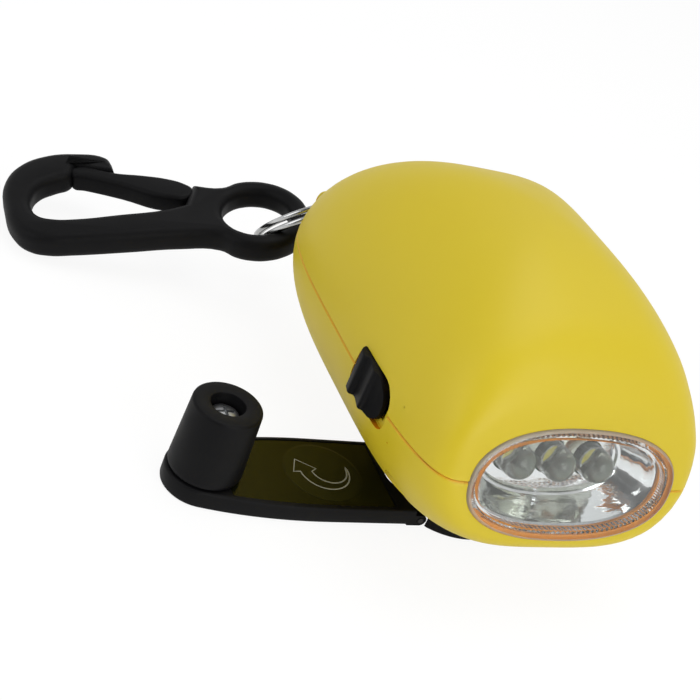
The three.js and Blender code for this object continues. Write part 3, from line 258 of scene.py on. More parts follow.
def oval_loft(rings, around=160, ribbed=()):
    """A closed solid through oval rings of half width, half height, depth and lift, some toothed."""
    made = bmesh.new()
    bmesh.ops.create_circle(made, segments=around, radius=1)
    turns = {v: math.atan2(v.co.y, v.co.x) for v in made.verts}
    edges = made.edges[:]
    for number, (wide, high, depth, lift) in enumerate(rings):
        if number:
            grown = bmesh.ops.extrude_edge_only(made, edges=edges)["geom"]
            fresh = [g for g in grown if isinstance(g, bmesh.types.BMVert)]
            before = turns
            turns = {}
            for vertex in fresh:
                beside = [e.other_vert(vertex) for e in vertex.link_edges]
                turns[vertex] = next(before[v] for v in beside if v in before)
            edges = [g for g in grown if isinstance(g, bmesh.types.BMEdge)]
            edges = [e for e in edges if all(v in turns for v in e.verts)]
        for vertex, turn in turns.items():
            reach = reach_of(turn, oval_exponent)
            at_tooth = number in ribbed and round(turn * around / (2 * math.pi)) % 2
            drawn_in = tooth_height if at_tooth else 0
            across = (wide - drawn_in) * math.cos(turn) * reach
            up = (high - drawn_in) * math.sin(turn) * reach + lift
            vertex.co = (across, up, depth)
        if number in (0, len(rings) - 1) and rings[0] != rings[-1]:
            bmesh.ops.contextual_create(made, geom=edges)
    bmesh.ops.remove_doubles(made, verts=made.verts, dist=0.0005)
    bmesh.ops.recalc_face_normals(made, faces=made.faces)
    bmesh.ops.transform(made, matrix=front_frame, verts=made.verts)
    return made


# satin moulded ABS: a warm yellow with a soft wide highlight, a fine tooled grain, and light scuffs
yellow, look = start_material(
    "satin_yellow_abs", Roughness=0.45, IOR=1.46, Subsurface_Weight=0.06, Subsurface_Scale=0.0015
)
tree, shader, place = look
shader.inputs["Subsurface Radius"].default_value = (1.0, 0.7, 0.15)
tones = vary_colour(look, "D9C01C", "DEC724", 22)
height = add_node(tree, "SeparateXYZ", {"Vector": place}).outputs["Z"]
from_seam = add_node(tree, "Math", {0: height, 1: parting_z / 1000}, operation="SUBTRACT").outputs[0]
seam_distance = add_node(tree, "Math", {0: from_seam}, operation="ABSOLUTE").outputs[0]
seam_bounce_light_share = add_node(
    tree, "MapRange", {"Value": seam_distance, "From Min": 0.0003, "From Max": 0.0001, "To Max": 0.6}
).outputs["Result"]
# painted bounced light and shade: along the groove the colour turns a warmer orange than the faces beside
# it, standing for the light that glows in the groove's thin plastic
seam_bounce_light_mix = {0: seam_bounce_light_share, 6: tones, 7: linear("EFA62B")}
seam_bounce_light_tone = add_node(tree, "Mix", seam_bounce_light_mix, data_type="RGBA").outputs[2]
# faint scuffs, 11 mm long and 2.4 mm wide, slant over the shell
scuff_scale = (1000 / 11.11, 1000 / 2.381, 1000 / 2.381)
slant = {"Vector": place, "Scale": scuff_scale, "Rotation": (0.2, 0.5, 0.9)}
stretched = add_node(tree, "Mapping", slant).outputs[0]
scuffs = add_node(tree, "TexNoise", {"Vector": stretched, "Scale": 1, "Detail": 2}).outputs["Fac"]
scuff_share = add_node(
    tree, "MapRange", {"Value": scuffs, "From Min": 0.73, "From Max": 0.78, "To Max": 0.16}
).outputs["Result"]
scuff_mix = {0: scuff_share, 6: seam_bounce_light_tone, 7: linear("BFA73A")}
scuffed = add_node(tree, "Mix", scuff_mix, data_type="RGBA").outputs[2]
tree.links.new(scuffed, shader.inputs["Base Color"])
vary_roughness(look, 0.4, 0.52, 9)
set_grain(look, 0.35, 0.012, 0.35)

# painted shade and bounced light: the same ABS in the lens seat and the switch pocket, painted a deeper
# orange for the light bouncing between the walls
painted_bounce_yellow, look = start_material("shaded_yellow_abs", Roughness=0.5, Specular_IOR_Level=0.15)
vary_colour(look, "E0860A", "E8980E", 6)
set_grain(look, 0.35, 0.012, 0.3)

# the knob passes under the tail, which leaves a ring of space for it all round
knob_path_radius, knob_path_top = 35.4, 15.9
below_all, above_all, outside_all = -5, 60, 70
screw_places = [(-20, -13.5), (20, -13.5), (-15.5, 34), (15.5, 34)]
# posts stand in the cavity round the screws, the crank bush, under the gear plate and at the axles
post_groups = (
    (screw_places, 3, below_all, above_all),
    ([(0, 0)], 7.5, below_all, 7.9),
    ([(-14.5, -8.5), (14.5, -8.5), (0, 32.5)], 2.2, below_all, 19.5),
    ([(6.402, 15.532), (-7.998, 15.532)], 2.4, below_all, 9.6),
)


def knob_path(radius, top, steps):
    """The ring of space round the crank's axis that the knob sweeps."""
    profile = [(radius, below_all), (outside_all, below_all), (outside_all, top), (radius, top)]
    return turned(profile, closed=True, steps=steps)


cavity = carve(pebble(wall), knob_path(knob_path_radius - wall, knob_path_top + wall, 128))
cavity = carve(cavity, rods(*post_groups))

lens_opening_rings = [(17.95, 8.85, 6, 0), (17.95, 8.85, -0.7, 0), (17.1, 8, -0.7, 0), (17.1, 8, -6, 0)]
pocket_front, pocket_rear = -11.5, 0.5
pocket_low, pocket_high = 20.1, 27.3
pocket_floor_x = -24.4
rear_corner, upper_corner, lower_corner = 1, 4.4, 2.2
switch_y = -5.4


def pocket_outline(margin, shift=0):
    """The switch pocket seen from the left, drawn in by a margin and moved back, as pairs of y and z."""
    rear, front = pocket_rear - margin, pocket_front + margin
    low, high = pocket_low + margin, pocket_high - margin
    corners = (
        (rear - rear_corner, low + rear_corner, rear_corner, -90),
        (rear - rear_corner, high - rear_corner, rear_corner, 0),
        (front + upper_corner, high - upper_corner, upper_corner, 90),
        (front + lower_corner, low + lower_corner, lower_corner, 180),
    )
    points = []
    for y, z, radius, start in corners:
        for step in range(9):
            turn = math.radians(start + 90 * step / 8)
            points.append((y + radius * math.cos(turn) + shift, z + radius * math.sin(turn)))
    return points


def thicken(made, flat, step):
    """Draws a copy of a flat face out along a step, which makes it a plate."""
    grown = bmesh.ops.extrude_face_region(made, geom=[flat])["geom"]
    fresh = [g for g in grown if isinstance(g, bmesh.types.BMVert)]
    bmesh.ops.translate(made, vec=step, verts=fresh)
    bmesh.ops.recalc_face_normals(made, faces=made.faces)


def side_plate(points, low_x, high_x):
    """A flat plate that faces left, from an outline of y and z."""
    made = bmesh.new()
    flat = made.faces.new([made.verts.new((low_x, y, z)) for y, z in points])
    thicken(made, flat, (high_x - low_x, 0, 0))
    return made


# behind the pocket's front a slot lets the slider's plate under the shell, and a window takes its stem
plate_slot = ((-24.8, -13.5, 20.4), (-24.35, -8, 27))
stem_window = ((-40, -9.7, 21.3), (-22, -3.1, 25.9))


def shell_half(side, inside):
    """One half of the body: side 1 is the roof and side -1 the floor."""
    made = pebble(0)
    bmesh.ops.bisect_plane(
        made, geom=made.verts[:] + made.edges[:] + made.faces[:], dist=0.0001,
        plane_co=(0, 0, parting_z), plane_no=(0, 0, -side), clear_outer=True,
    )
    rim = [v for v in made.verts if v.is_boundary]
    cap = bmesh.ops.contextual_create(made, geom=[e for e in made.edges if e.is_boundary])["faces"]
    bmesh.ops.inset_individual(made, faces=cap, thickness=groove_depth, use_even_offset=True)
    for vertex in made.verts:
        if abs(vertex.co.z - parting_z) < 0.001:
            vertex.co.z += side * groove_gap
    for vertex in rim:
        vertex.co.z += side * groove_depth
    made = carve(made, inside)
    made = carve(made, oval_loft(lens_opening_rings))
    made = carve(made, side_plate(pocket_outline(0), -outside_all, pocket_floor_x))
    made = carve(made, block(*plate_slot))
    return carve(made, block(*stem_window))


crank_hole_radius = 5.3
shank_hole_radius = 1.6
head_well_radius, head_well_top = 2.5, 18.3
roof = shell_half(1, cavity.copy())
roof = carve(roof, rods((screw_places, shank_hole_radius, 20, 33.8)))

floor_half = shell_half(-1, cavity)
floor_half = carve(floor_half, knob_path(knob_path_radius, knob_path_top, 160))
bush_hole = ([(0, 0)], crank_hole_radius, below_all, 12)
head_wells = (screw_places, head_well_radius, below_all, head_well_top)
floor_half = carve(floor_half, rods(bush_hole, head_wells))
floor_half = carve(floor_half, rods((screw_places, shank_hole_radius, 17, 26)))

edge_slack = 0.01
for name, made, node in (
    ("upper_shell_moulding", roof, "upper_shell"),
    ("lower_shell_moulding", floor_half, "lower_shell"),
):
    piece = add_piece(name, made, yellow, "housing", [node], crease=38)
    # the second material, an orange painted shade, goes on the faces in the lens seat and the switch
    # pocket
    piece.data.materials.append(painted_bounce_yellow)
    for polygon in piece.data.polygons:
        spot = polygon.center * 1000
        seat = to_face @ spot
        facing = polygon.normal.x
        in_seat = -2.3 < seat.z < -0.03 and oval_share(seat, 18, 8.9) < 1
        in_length = pocket_front - edge_slack < spot.y < pocket_rear + edge_slack
        in_height = pocket_low - edge_slack < spot.z < pocket_high + edge_slack
        is_wall = facing > -0.99 and (abs(facing) < 0.3 or spot.x > pocket_floor_x - 0.1)
        in_pocket = spot.x < pocket_floor_x + 0.2 and in_length and in_height and is_wall
        polygon.material_index = 1 if in_seat or in_pocket else 0


# Tail lug
# A rounded ear of the lower shell with a hole for the split ring, moulded in one with the shell.
# It stands on the tail just below the groove, turned to face the ring.
lug_centre = (-12.66, 48.35, 23.21)
lug_place = Matrix.Translation(lug_centre) @ Matrix.Rotation(math.radians(14.25), 4, "Z")
lug_radius, lug_root, lug_half_thickness = 3, -4.5, 1.5
lug_bore_radius, lug_edge = 2.05, 0.4


def soften(made, edges, offset, segments=3):
    """Rounds edges of a mesh by an offset."""
    bmesh.ops.bevel(
        made, geom=edges, offset=offset, offset_type="OFFSET", segments=segments, profile=0.5,
        affect="EDGES", material=-1,
    )


ear_turns = [math.radians(10 * k - 90) for k in range(19)]
ear_line = [(lug_radius * math.cos(a), lug_radius * math.sin(a)) for a in ear_turns]
ear_line += [(lug_root, lug_radius), (lug_root, -lug_radius)]
ear = side_plate(ear_line, -lug_half_thickness, lug_half_thickness)
rims = [e for e in ear.edges if len(e.link_faces) == 2 and e.calc_face_angle() > 1.2]
soften(ear, rims, lug_edge)
eyelet = bmesh.new()
bmesh.ops.create_cone(
    eyelet, cap_ends=True, segments=64, radius1=lug_bore_radius, radius2=lug_bore_radius, depth=9,
    matrix=Matrix.Rotation(math.pi / 2, 4, "Y"),
)
ear = carve(ear, eyelet)
bmesh.ops.transform(ear, matrix=lug_place, verts=ear.verts)
ear = carve(ear, pebble(wall / 2))
add_piece("tail_lug", ear, yellow, "housing")


# Reflector
# An oval bowl of ABS with a vacuum deposited aluminium skin, held behind the front wall by its flange.
# Three round holes in its floor let the LEDs through.
bowl_rings = [
    (6, 2, -7.5, 0.9), (11.5, 4.95, -7.5, 0.9), (11.8, 5.2, -7.3, 0.9), (12.0, 5.35, -6.9, 0.85),
    (12.4, 5.6, -6.75, 0.8), (12.8, 5.8, -6.3, 0.7), (13.6, 6.1, -5.3, 0.5), (14.4, 6.5, -4.3, 0.35),
    (15.1, 6.8, -3.5, 0.2), (15.6, 7.0, -2.55, 0.05), (15.9, 7.25, -2.3, 0), (17.6, 8.5, -2.3, 0),
    (17.6, 8.5, -3.3, 0), (16.5, 7.8, -3.3, 0.1), (14.6, 6.9, -5.6, 0.5), (13.2, 6.2, -7.6, 0.8),
    (11.8, 5.4, -8.4, 0.9), (6, 2, -8.4, 0.9),
]
led_places = [-7, 0, 7]
led_lift = 0.9
led_hole_radius = 2.7


def face_rod(radius, low, high, x):
    """A rod along the lens's own axis."""
    made = rods(([(x, led_lift)], radius, low, high))
    bmesh.ops.transform(made, matrix=front_frame, verts=made.verts)
    return made


# thin aluminium over moulded ABS: bright, with long low waves 9 mm by 1.4 mm that streak what it mirrors
chrome, look = start_material("vacuum_metallised_abs", Metallic=1.0, Roughness=0.07)
tree, shader, place = look
vary_colour(look, "E4E6E7", "F2F3F3", 5)
streak_scale = (1000 / 9.09, 1000 / 1.4286, 1000 / 1.4286)
streaks = add_node(tree, "Mapping", {"Vector": place, "Scale": streak_scale}).outputs[0]
ripples = add_node(tree, "TexNoise", {"Vector": streaks, "Scale": 1, "Detail": 3}).outputs["Fac"]
add_bump(look, ripples, 0.7, 0.1)
bowl = oval_loft(bowl_rings, around=144)
for x in led_places:
    bowl = carve(bowl, face_rod(led_hole_radius, -20, -4, x))
add_piece("reflector_bowl", bowl, chrome, "housing", ["reflector"], crease=26)


# LEDs
# Three clear 5 mm lamps: a domed epoxy body over a steel lead frame, whose cup holds the yellow chip.
# They stand in the bowl's holes and are soldered to the board behind it.
led_radius, dome_depth = 2.5, -5.2
led_flange_radius, led_flange_depth, led_foot_depth = 2.9, -10.4, -11.4
cup_offset = 0.25
cup_profile = [(0, -11.2), (0.35, -11.2), (0.4, -7.9), (0.95, -7.0), (0.8, -6.8), (0.5, -7.3), (0, -7.3)]
chip_profile = [(0, -7.25), (0.47, -7.25), (0.72, -6.9), (0.35, -6.78), (0, -6.75)]
post_near, post_far, post_half = -0.75, -1.15, 0.3
post_foot, post_top = -11.2, -6.9

# clear cast epoxy, smooth but a little cloudy, so that the lamp looks grey green with the chip behind
resin, look = start_material("clear_epoxy_resin", Roughness=0.05, IOR=1.5, Transmission_Weight=0.87)
vary_colour(look, "C9CCBE", "D8DACE", 3)
# stamped steel with a dull tin coat: soft grey glints
lead_steel, look = start_material("tinned_lead_frame", Metallic=1.0, Roughness=0.3)
vary_colour(look, "8E9092", "B4B6B8", 1.5)
# a matt drop of phosphor over the chip: a pale yellow spot
chip_yellow, look = start_material("phosphor_chip", Roughness=0.6)
vary_colour(look, "D8C94A", "E8DC6A", 0.8)
dome_turns = [math.radians(7.5 * k) for k in range(12)]
lamp_profile = [(0, led_foot_depth), (led_flange_radius, led_foot_depth)]
lamp_profile += [(led_flange_radius, led_flange_depth - 0.1), (led_radius, led_flange_depth)]
lamp_profile += [(led_radius * math.cos(a), dome_depth + led_radius * math.sin(a)) for a in dome_turns]
lamp_profile += [(0, dome_depth + led_radius)]
for name, x in zip(("left", "centre", "right"), led_places):
    lamp = turned(lamp_profile, x, led_lift)
    cup = turned(cup_profile, x + cup_offset, led_lift, steps=32)
    post_low = (x + post_far, led_lift - post_half, post_foot)
    post_high = (x + post_near, led_lift + post_half, post_top)
    cup = carve(cup, block(post_low, post_high), "UNION")
    chip = turned(chip_profile, x + cup_offset, led_lift, steps=32)
    for made in (lamp, cup, chip):
        bmesh.ops.transform(made, matrix=front_frame, verts=made.verts)
    add_piece(f"led_{name}_lamp", lamp, resin, "housing", [f"led_{name}"], crease=40)
    add_piece(f"led_{name}_lead_frame", cup, lead_steel, "housing", crease=30)
    add_piece(f"led_{name}_chip", chip, chip_yellow, "housing", crease=30)


# Lens
# A clear polycarbonate plate with a rounded rim, glued in its seat half a millimetre proud of the shell.
# A fine ribbed skirt behind it takes the glue and shows through the rim as small teeth.
lens_rings = [
    (17.0, 7.9, 0.5, 0), (17.45, 8.35, 0.45, 0), (17.75, 8.65, 0.3, 0), (17.9, 8.8, 0.05, 0),
    (17.9, 8.8, -0.3, 0), (17.8, 8.7, -0.4, 0), (16.8, 7.7, -0.4, 0), (16.8, 7.7, -0.45, 0),
    (16.8, 7.7, -1.6, 0), (16.2, 7.1, -1.6, 0), (16.2, 7.1, -0.4, 0),
]
# moulded clear and polished: nearly invisible but for sharp glints and the bent view at its rim
clear, look = start_material("clear_polycarbonate", Roughness=0.02, IOR=1.5, Transmission_Weight=1.0)
vary_colour(look, "F6F8F7", "FCFDFD", 8)
lens = oval_loft(lens_rings, around=240, ribbed=(7, 8))
lens_piece = add_piece("lens_plate", lens, clear, "housing", ["lens"], crease=30)
# the same polycarbonate where the mould's edge is unpolished: milky, it shows as a pale line. Its brownish
# tint is painted shade that stands for the yellow seat seen through the rim
frosted, look = start_material("unpolished_lens_edge", Roughness=0.45, Transmission_Weight=0.6)
vary_colour(look, "C9BBA2", "D9CEB9", 3)
lens_piece.data.materials.append(frosted)
for polygon in lens_piece.data.polygons:
    at_edge = oval_share(to_face @ (polygon.center * 1000), 17.4, 8.3) > 1
    polygon.material_index = 1 if at_edge else 0
# the lip behind the lens rim takes the same orange painted shade
lip_rings = [
    (17.05, 7.95, -1.75, 0), (17.05, 7.95, -2.25, 0), (16.35, 7.5, -2.25, 0), (16.35, 7.5, -2.05, 0),
]
lip = oval_loft(lip_rings + lip_rings[:1])
add_piece("front_wall_lip", lip, painted_bounce_yellow, "housing")
# light passes straight through both clear plastics, so that the bowl behind them isn't left dark
for material in (resin, clear):
    tree = material.node_tree
    ray = add_node(tree, "LightPath", {}).outputs["Is Shadow Ray"]
    open_path = add_node(tree, "BsdfTransparent", {"Color": (0.9, 0.92, 0.92, 1)}).outputs[0]
    solid_look = tree.nodes["Principled BSDF"].outputs[0]
    either = add_node(tree, "MixShader", {0: ray, 1: solid_look, 2: open_path})
    tree.links.new(either.outputs[0], tree.nodes["Material Output"].inputs["Surface"])


# Switch slider
# A black nylon slider in a pocket across the groove: a flush plate with a thumb wedge in two steps.
# Its stem goes through the wall into the switch behind.
slider_gap, slider_travel = 0.15, 2
# the plate that slides under the shell, and the stem that goes through the window
base_margin, base_shift, base_low_x, base_high_x = 0.5, 0.6, -24.75, -24.42
base_limits = ((-30, -20, 10), (-20, -0.5, 30))
stem_low, stem_high = (-25.2, switch_y - 2, 21.6), (-23.1, switch_y + 2, 25.6)
proud_x, slider_edge = -25.55, 0.2
# moulded nylon: near black with a broad soft sheen, a fine grain, and rubbed patches that shine more
black, look = start_material("satin_black_nylon", Roughness=0.5, Specular_IOR_Level=0.13)
vary_colour(look, "0A0A0B", "111113", 7)
vary_roughness(look, 0.38, 0.6, 4)
set_grain(look, 0.22, 0.014, 0.4)
step_profile = [
    (0.3, -24.5), (0.3, -25.5), (-0.1, -26.1), (-0.7, -26.6), (-2.1, -26.95), (-2.5, -26.85),
    (-2.8, -26.2), (-3.4, -26.15), (-5.6, -26.65), (-6.0, -26.55), (-6.25, -26.1), (-8.0, -25.7),
    (-9.3, -25.2), (-9.3, -24.5),
]
slider = bmesh.new()
slider_foot = pocket_low + slider_gap
side_face = slider.faces.new([slider.verts.new((x, y, slider_foot)) for y, x in step_profile])
thicken(slider, side_face, (0, 0, pocket_high - pocket_low - 2 * slider_gap))
proud_edges = [e for e in slider.edges if min(v.co.x for v in e.verts) < proud_x]
soften(slider, [e for e in proud_edges if e.calc_face_angle() > 0.3], slider_edge)
slider = carve(slider, side_plate(pocket_outline(slider_gap, slider_travel), -30, -20), "INTERSECT")
base = side_plate(pocket_outline(base_margin, base_shift), base_low_x, base_high_x)
base = carve(base, block(*base_limits), "INTERSECT")
slider = carve(slider, base, "UNION")
slider = carve(slider, block(stem_low, stem_high), "UNION")
add_piece("switch_thumb_slider", slider, black, "slider", ["switch_slider"])


# Crank hub
# A turned looking disc of black nylon on the crank shaft, with a channel underneath for the folded arm.
# The boss in the channel is what the light stands on, and the tongue at its edge holds the hinge pin.
hinge_x, hinge_z = -8.4, 1.0
hinge_radius, pin_hole_radius = 1, 0.6
hub_profile = [
    (0, 0), (11.1, 0), (11.4, 0.3), (11.4, 3.2), (11.1, 3.5), (3.5, 3.5), (3.5, 9.6), (0, 9.6),
]
boss_profile = [(0, 0), (2.75, 0), (3, 0.25), (3, 3), (0, 3)]
channel = ((-20, -8.5, -1), (20, 8.5, 2.3))
hinge_flat = ((-20, -20, -1), (-9.4, 20, 5))
tongue = ((-9.4, -5, hinge_z), (-7.4, 5, 3.2))
hub = turned(hub_profile)
hub = carve(hub, block(*channel))
hub = carve(hub, block(*hinge_flat))
hub = carve(hub, turned(boss_profile), "UNION")
hub = carve(hub, block(*tongue), "UNION")


def cross_rod(radius, low_y, high_y, x, z):
    """A closed rod along Y."""
    made = bmesh.new()
    place_of = Matrix.Translation((x, (low_y + high_y) / 2, z)) @ Matrix.Rotation(math.pi / 2, 4, "X")
    bmesh.ops.create_cone(
        made, cap_ends=True, segments=48, radius1=radius, radius2=radius, depth=high_y - low_y,
        matrix=place_of,
    )
    return made


hub = carve(hub, cross_rod(hinge_radius, -5, 5, hinge_x, hinge_z), "UNION")
hub = carve(hub, cross_rod(pin_hole_radius, -12, 12, hinge_x, hinge_z))
add_piece("crank_hub_disc", hub, black, "crank", ["crank_hub"], crease=30)


# Crank arm
# A flat lever of black nylon with softened edges, round under the knob and hinged to the hub.
# A shallow recess takes the label, a notch clears the hinge, and a hole takes the hub's boss when folded.
arm_half, arm_thickness, arm_edge = 8.15, 3, 0.45
arm_root_x, taper_x, knob_x = -9.7, -24.0, -43.0
end_radius, end_lean = 5.9, 15
recess_floor, label_margin = 2.5, 0.8
recess_limits = ((-40, -9, 0), (-13.2, 9, 9))
knuckle_inner_y = 5.3
boss_hole_x, boss_hole_radius = -16.8, 3.6
hinge_notch_radius = 3.9


def arm_outline(margin):
    """The arm's outline, drawn in by a margin, from the hinge side round the knob."""
    half = arm_half - margin
    radius = end_radius - margin
    lean = math.radians(end_lean)
    bend_x, bend_y = knob_x - radius * math.sin(lean), radius * math.cos(lean)
    control_x = bend_x + (half - bend_y) / math.tan(lean)
    upper = [(arm_root_x, half)]
    for step in range(12):
        t = step / 12
        k = 1 - t
        x = taper_x * k * k + 2 * control_x * k * t + bend_x * t * t
        upper.append((x, half * k * k + 2 * half * k * t + bend_y * t * t))
    sweep = [math.radians(90 + end_lean + (180 - 2 * end_lean) * k / 28) for k in range(29)]
    tip = [(knob_x + radius * math.cos(a), radius * math.sin(a)) for a in sweep]
    return upper + tip + [(x, -y) for x, y in reversed(upper)]


def plate(points, bottom, top, edge=0):
    """A flat plate from an outline, its long edges rounded."""
    made = bmesh.new()
    flat = made.faces.new([made.verts.new((x, y, bottom)) for x, y in points])
    thicken(made, flat, (0, 0, top - bottom))
    if edge:
        soften(made, [e for e in made.edges if abs(e.verts[0].co.z - e.verts[1].co.z) < 0.001], edge)
    return made


arm = plate(arm_outline(0), 0, arm_thickness, arm_edge)
for side in (-1, 1):
    low, high = sorted((side * knuckle_inner_y, side * arm_half))
    arm = carve(arm, cross_rod(hinge_radius, low, high, hinge_x, hinge_z), "UNION")
    arm = carve(arm, block((-10.6, low, 0), (hinge_x, high, 2)), "UNION")
recess = plate(arm_outline(label_margin), recess_floor, 5)
recess = carve(recess, block(*recess_limits), "INTERSECT")
arm = carve(arm, recess)
for x, radius in ((boss_hole_x, boss_hole_radius), (hinge_x, hinge_notch_radius)):
    arm = carve(arm, rods(([(x, 0)], radius, -1, 5)))
arm = carve(arm, cross_rod(pin_hole_radius, -12, 12, hinge_x, hinge_z))
add_piece("crank_arm_lever", arm, black, "arm", ["crank_arm"])


# Arm label
# A dark glossy film glued in the recess, with a pressed round mark and a thin outlined arrow.
# The arrow is printed in pale grey and shows which way the crank turns.
film_gap, film_bottom, film_top = 0.15, 2.62, 2.87
film_limits = ((-39.9, -9, 0), (-13.35, 9, 9))
mark_place = (-0.0234, 0.0, 0.00288)
mark_radius = 0.0064
# dark polyester film with a smooth top: olive black, with soft mirror glints and a faint round dent
film, look = start_material("glossy_dark_film", Roughness=0.16, Specular_IOR_Level=0.3)
tree, shader, place = look
film_tones = vary_colour(look, "0E1006", "191B0A", 9)
from_mark = add_node(tree, "VectorMath", {0: place, 1: mark_place}, operation="DISTANCE")
mark_edges = {"From Min": mark_radius + 0.0002, "From Max": mark_radius - 0.0002, "To Max": 0.5}
mark_map = add_node(tree, "MapRange", {"Value": from_mark.outputs["Value"], **mark_edges})
ring_share = mark_map.outputs["Result"]
mark_mix = {0: ring_share, 6: film_tones, 7: linear("2C2D14")}
pressed = add_node(tree, "Mix", mark_mix, data_type="RGBA").outputs[2]
tree.links.new(pressed, shader.inputs["Base Color"])
add_bump(look, ring_share, 0.4, 0.3)
label = plate(arm_outline(label_margin + film_gap), film_bottom, film_top)
label = carve(label, block(*film_limits), "INTERSECT")
add_piece("arm_label_film", label, film, "arm", ["arm_label"])

# printed ink, matt and pale grey
print_grey, look = start_material("pale_grey_print", Roughness=0.4)
vary_colour(look, "9A9C92", "B0B1A8", 2)
line_radius, ink_share, ink_height = 0.12, 0.15, 2.875
arrow_head = [(-28.4, 0.0), (-27.3, 2.87), (-24.3, 0.86)]


def arc(x, y, radius, start, step, count):
    """Points on a circle, at even steps in degrees."""
    turns = [math.radians(start + step * k) for k in range(count)]
    return [(x + radius * math.cos(a), y + radius * math.sin(a)) for a in turns]


def curve_form(curve):
    """A curve's finished form as a mesh. The curve is used up."""
    holder = bpy.data.objects.new(curve.name, curve)
    bpy.context.scene.collection.objects.link(holder)
    bpy.context.view_layer.update()
    seen = holder.evaluated_get(bpy.context.evaluated_depsgraph_get())
    made = bmesh.new()
    made.from_mesh(seen.to_mesh())
    seen.to_mesh_clear()
    bpy.data.objects.remove(holder)
    bpy.data.curves.remove(curve)
    return made


arrow_line = arc(-23, 0.47, 4.2, 15, -10, 20) + arrow_head + arc(-22.2, 0.83, 3.1, -168, 10, 18)
line = bpy.data.curves.new("arrow_line", "CURVE")
line.dimensions = "3D"
line.bevel_depth = line_radius
line.bevel_resolution = 1
stroke = line.splines.new("POLY")
stroke.points.add(len(arrow_line) - 1)
stroke.use_cyclic_u = True
for point, (x, y) in zip(stroke.points, arrow_line):
    point.co = (x, y, 0, 1)
arrow = curve_form(line)
bmesh.ops.scale(arrow, vec=(1, 1, ink_share), verts=arrow.verts)
bmesh.ops.translate(arrow, vec=(0, 0, ink_height), verts=arrow.verts)
add_piece("arm_label_arrow", arrow, print_grey, "arm")


# Crank knob
# A tapered grip of black nylon that turns freely on a screw, sunk in a round recess.
# The screw is zinc plated steel with a cross slot, and holds the knob to the arm.
knob_profile = [
    (1.8, 3.3), (5.3, 3.3), (5.55, 3.38), (5.7, 3.7), (5.69, 4.2), (5.27, 14.45), (5.2, 14.7),
    (5.05, 14.84), (4.8, 14.9), (2.85, 14.9), (2.68, 14.82), (2.6, 14.6), (2.6, 11.9), (1.8, 11.9),
]
knob = turned(knob_profile, knob_x, closed=True, steps=128)
add_piece("crank_knob_grip", knob, black, "knob", ["crank_knob"])
# barrel plated steel: bright grey with faint cloudy patches
steel, look = start_material("zinc_plated_steel", Metallic=1.0, Roughness=0.32)
vary_colour(look, "A9ABAD", "D0D1D2", 1.2)
vary_roughness(look, 0.22, 0.42, 0.8)
screw_profile = [
    (0, 1.5), (1.5, 1.5), (1.5, 12.2), (2.3, 12.2), (2.3, 12.7), (2.05, 13.2), (1.4, 13.5), (0, 13.6),
]
slot_reach, slot_half, slot_floor = 1.3, 0.25, 12.7
screw = turned(screw_profile, knob_x, steps=64)
for along, across in ((slot_reach, slot_half), (slot_half, slot_reach)):
    screw = carve(screw, block((knob_x - along, -across, slot_floor), (knob_x + along, across, 14)))
add_piece("knob_screw_head", screw, steel, "arm", ["knob_screw"])


# Split ring
# A flat spring steel wire, nickel plated, wound nearly twice round and pressed flat.
# It is threaded through the lug, and the hook's eye hangs on it.
ring_frame = (
    Matrix.Translation(lug_centre)
    @ Matrix.Rotation(math.radians(-49.79), 4, "X")
    @ Matrix.Rotation(math.radians(-19.11), 4, "Y")
    @ Matrix.Rotation(math.radians(-0.88), 4, "Z")
)
ring_radius = 9.4
wire_half_width, wire_half_height = 0.75, 0.5
ring_pitch = 1.45
turn_shares = ((0.8, 0), (0.2, ring_pitch), (0.78, 0))
# drawn wire with a bright nickel coat: sharp highlights along the wire, dulled here and there
nickel, look = start_material("nickel_plated_spring_steel", Metallic=1.0, Roughness=0.16)
vary_colour(look, "B9BABA", "DADBDB", 2.5)
vary_roughness(look, 0.1, 0.26, 1.5)
ring = bmesh.new()
bmesh.ops.create_circle(ring, segments=20, radius=1)
for vertex in ring.verts:
    around = math.atan2(vertex.co.y, vertex.co.x)
    bulge = reach_of(around, 3)
    vertex.co = (
        ring_radius + wire_half_width * math.cos(around) * bulge, 0,
        wire_half_height * math.sin(around) * bulge - ring_pitch / 2,
    )
start_turn = 0.3 * 2 * math.pi
bmesh.ops.rotate(ring, cent=(0, 0, 0), matrix=Matrix.Rotation(start_turn, 3, "Z"), verts=ring.verts)
bmesh.ops.contextual_create(ring, geom=ring.edges[:])
section = ring.verts[:] + ring.edges[:]
for share, climb in turn_shares:
    steps = round(100 * share)
    turned_out = bmesh.ops.spin(
        ring, geom=section, axis=(0, 0, 1), cent=(0, 0, 0), dvec=(0, 0, climb / steps),
        angle=share * 2 * math.pi, steps=steps,
    )
    section = [g for g in turned_out["geom_last"] if not isinstance(g, bmesh.types.BMFace)]
bmesh.ops.contextual_create(ring, geom=[g for g in section if isinstance(g, bmesh.types.BMEdge)])
bmesh.ops.translate(ring, verts=ring.verts, vec=(0, ring_radius, 0))
bmesh.ops.transform(ring, matrix=ring_frame, verts=ring.verts)
add_piece("split_ring_wire", ring, nickel, "ring", ["split_ring"], crease=40)


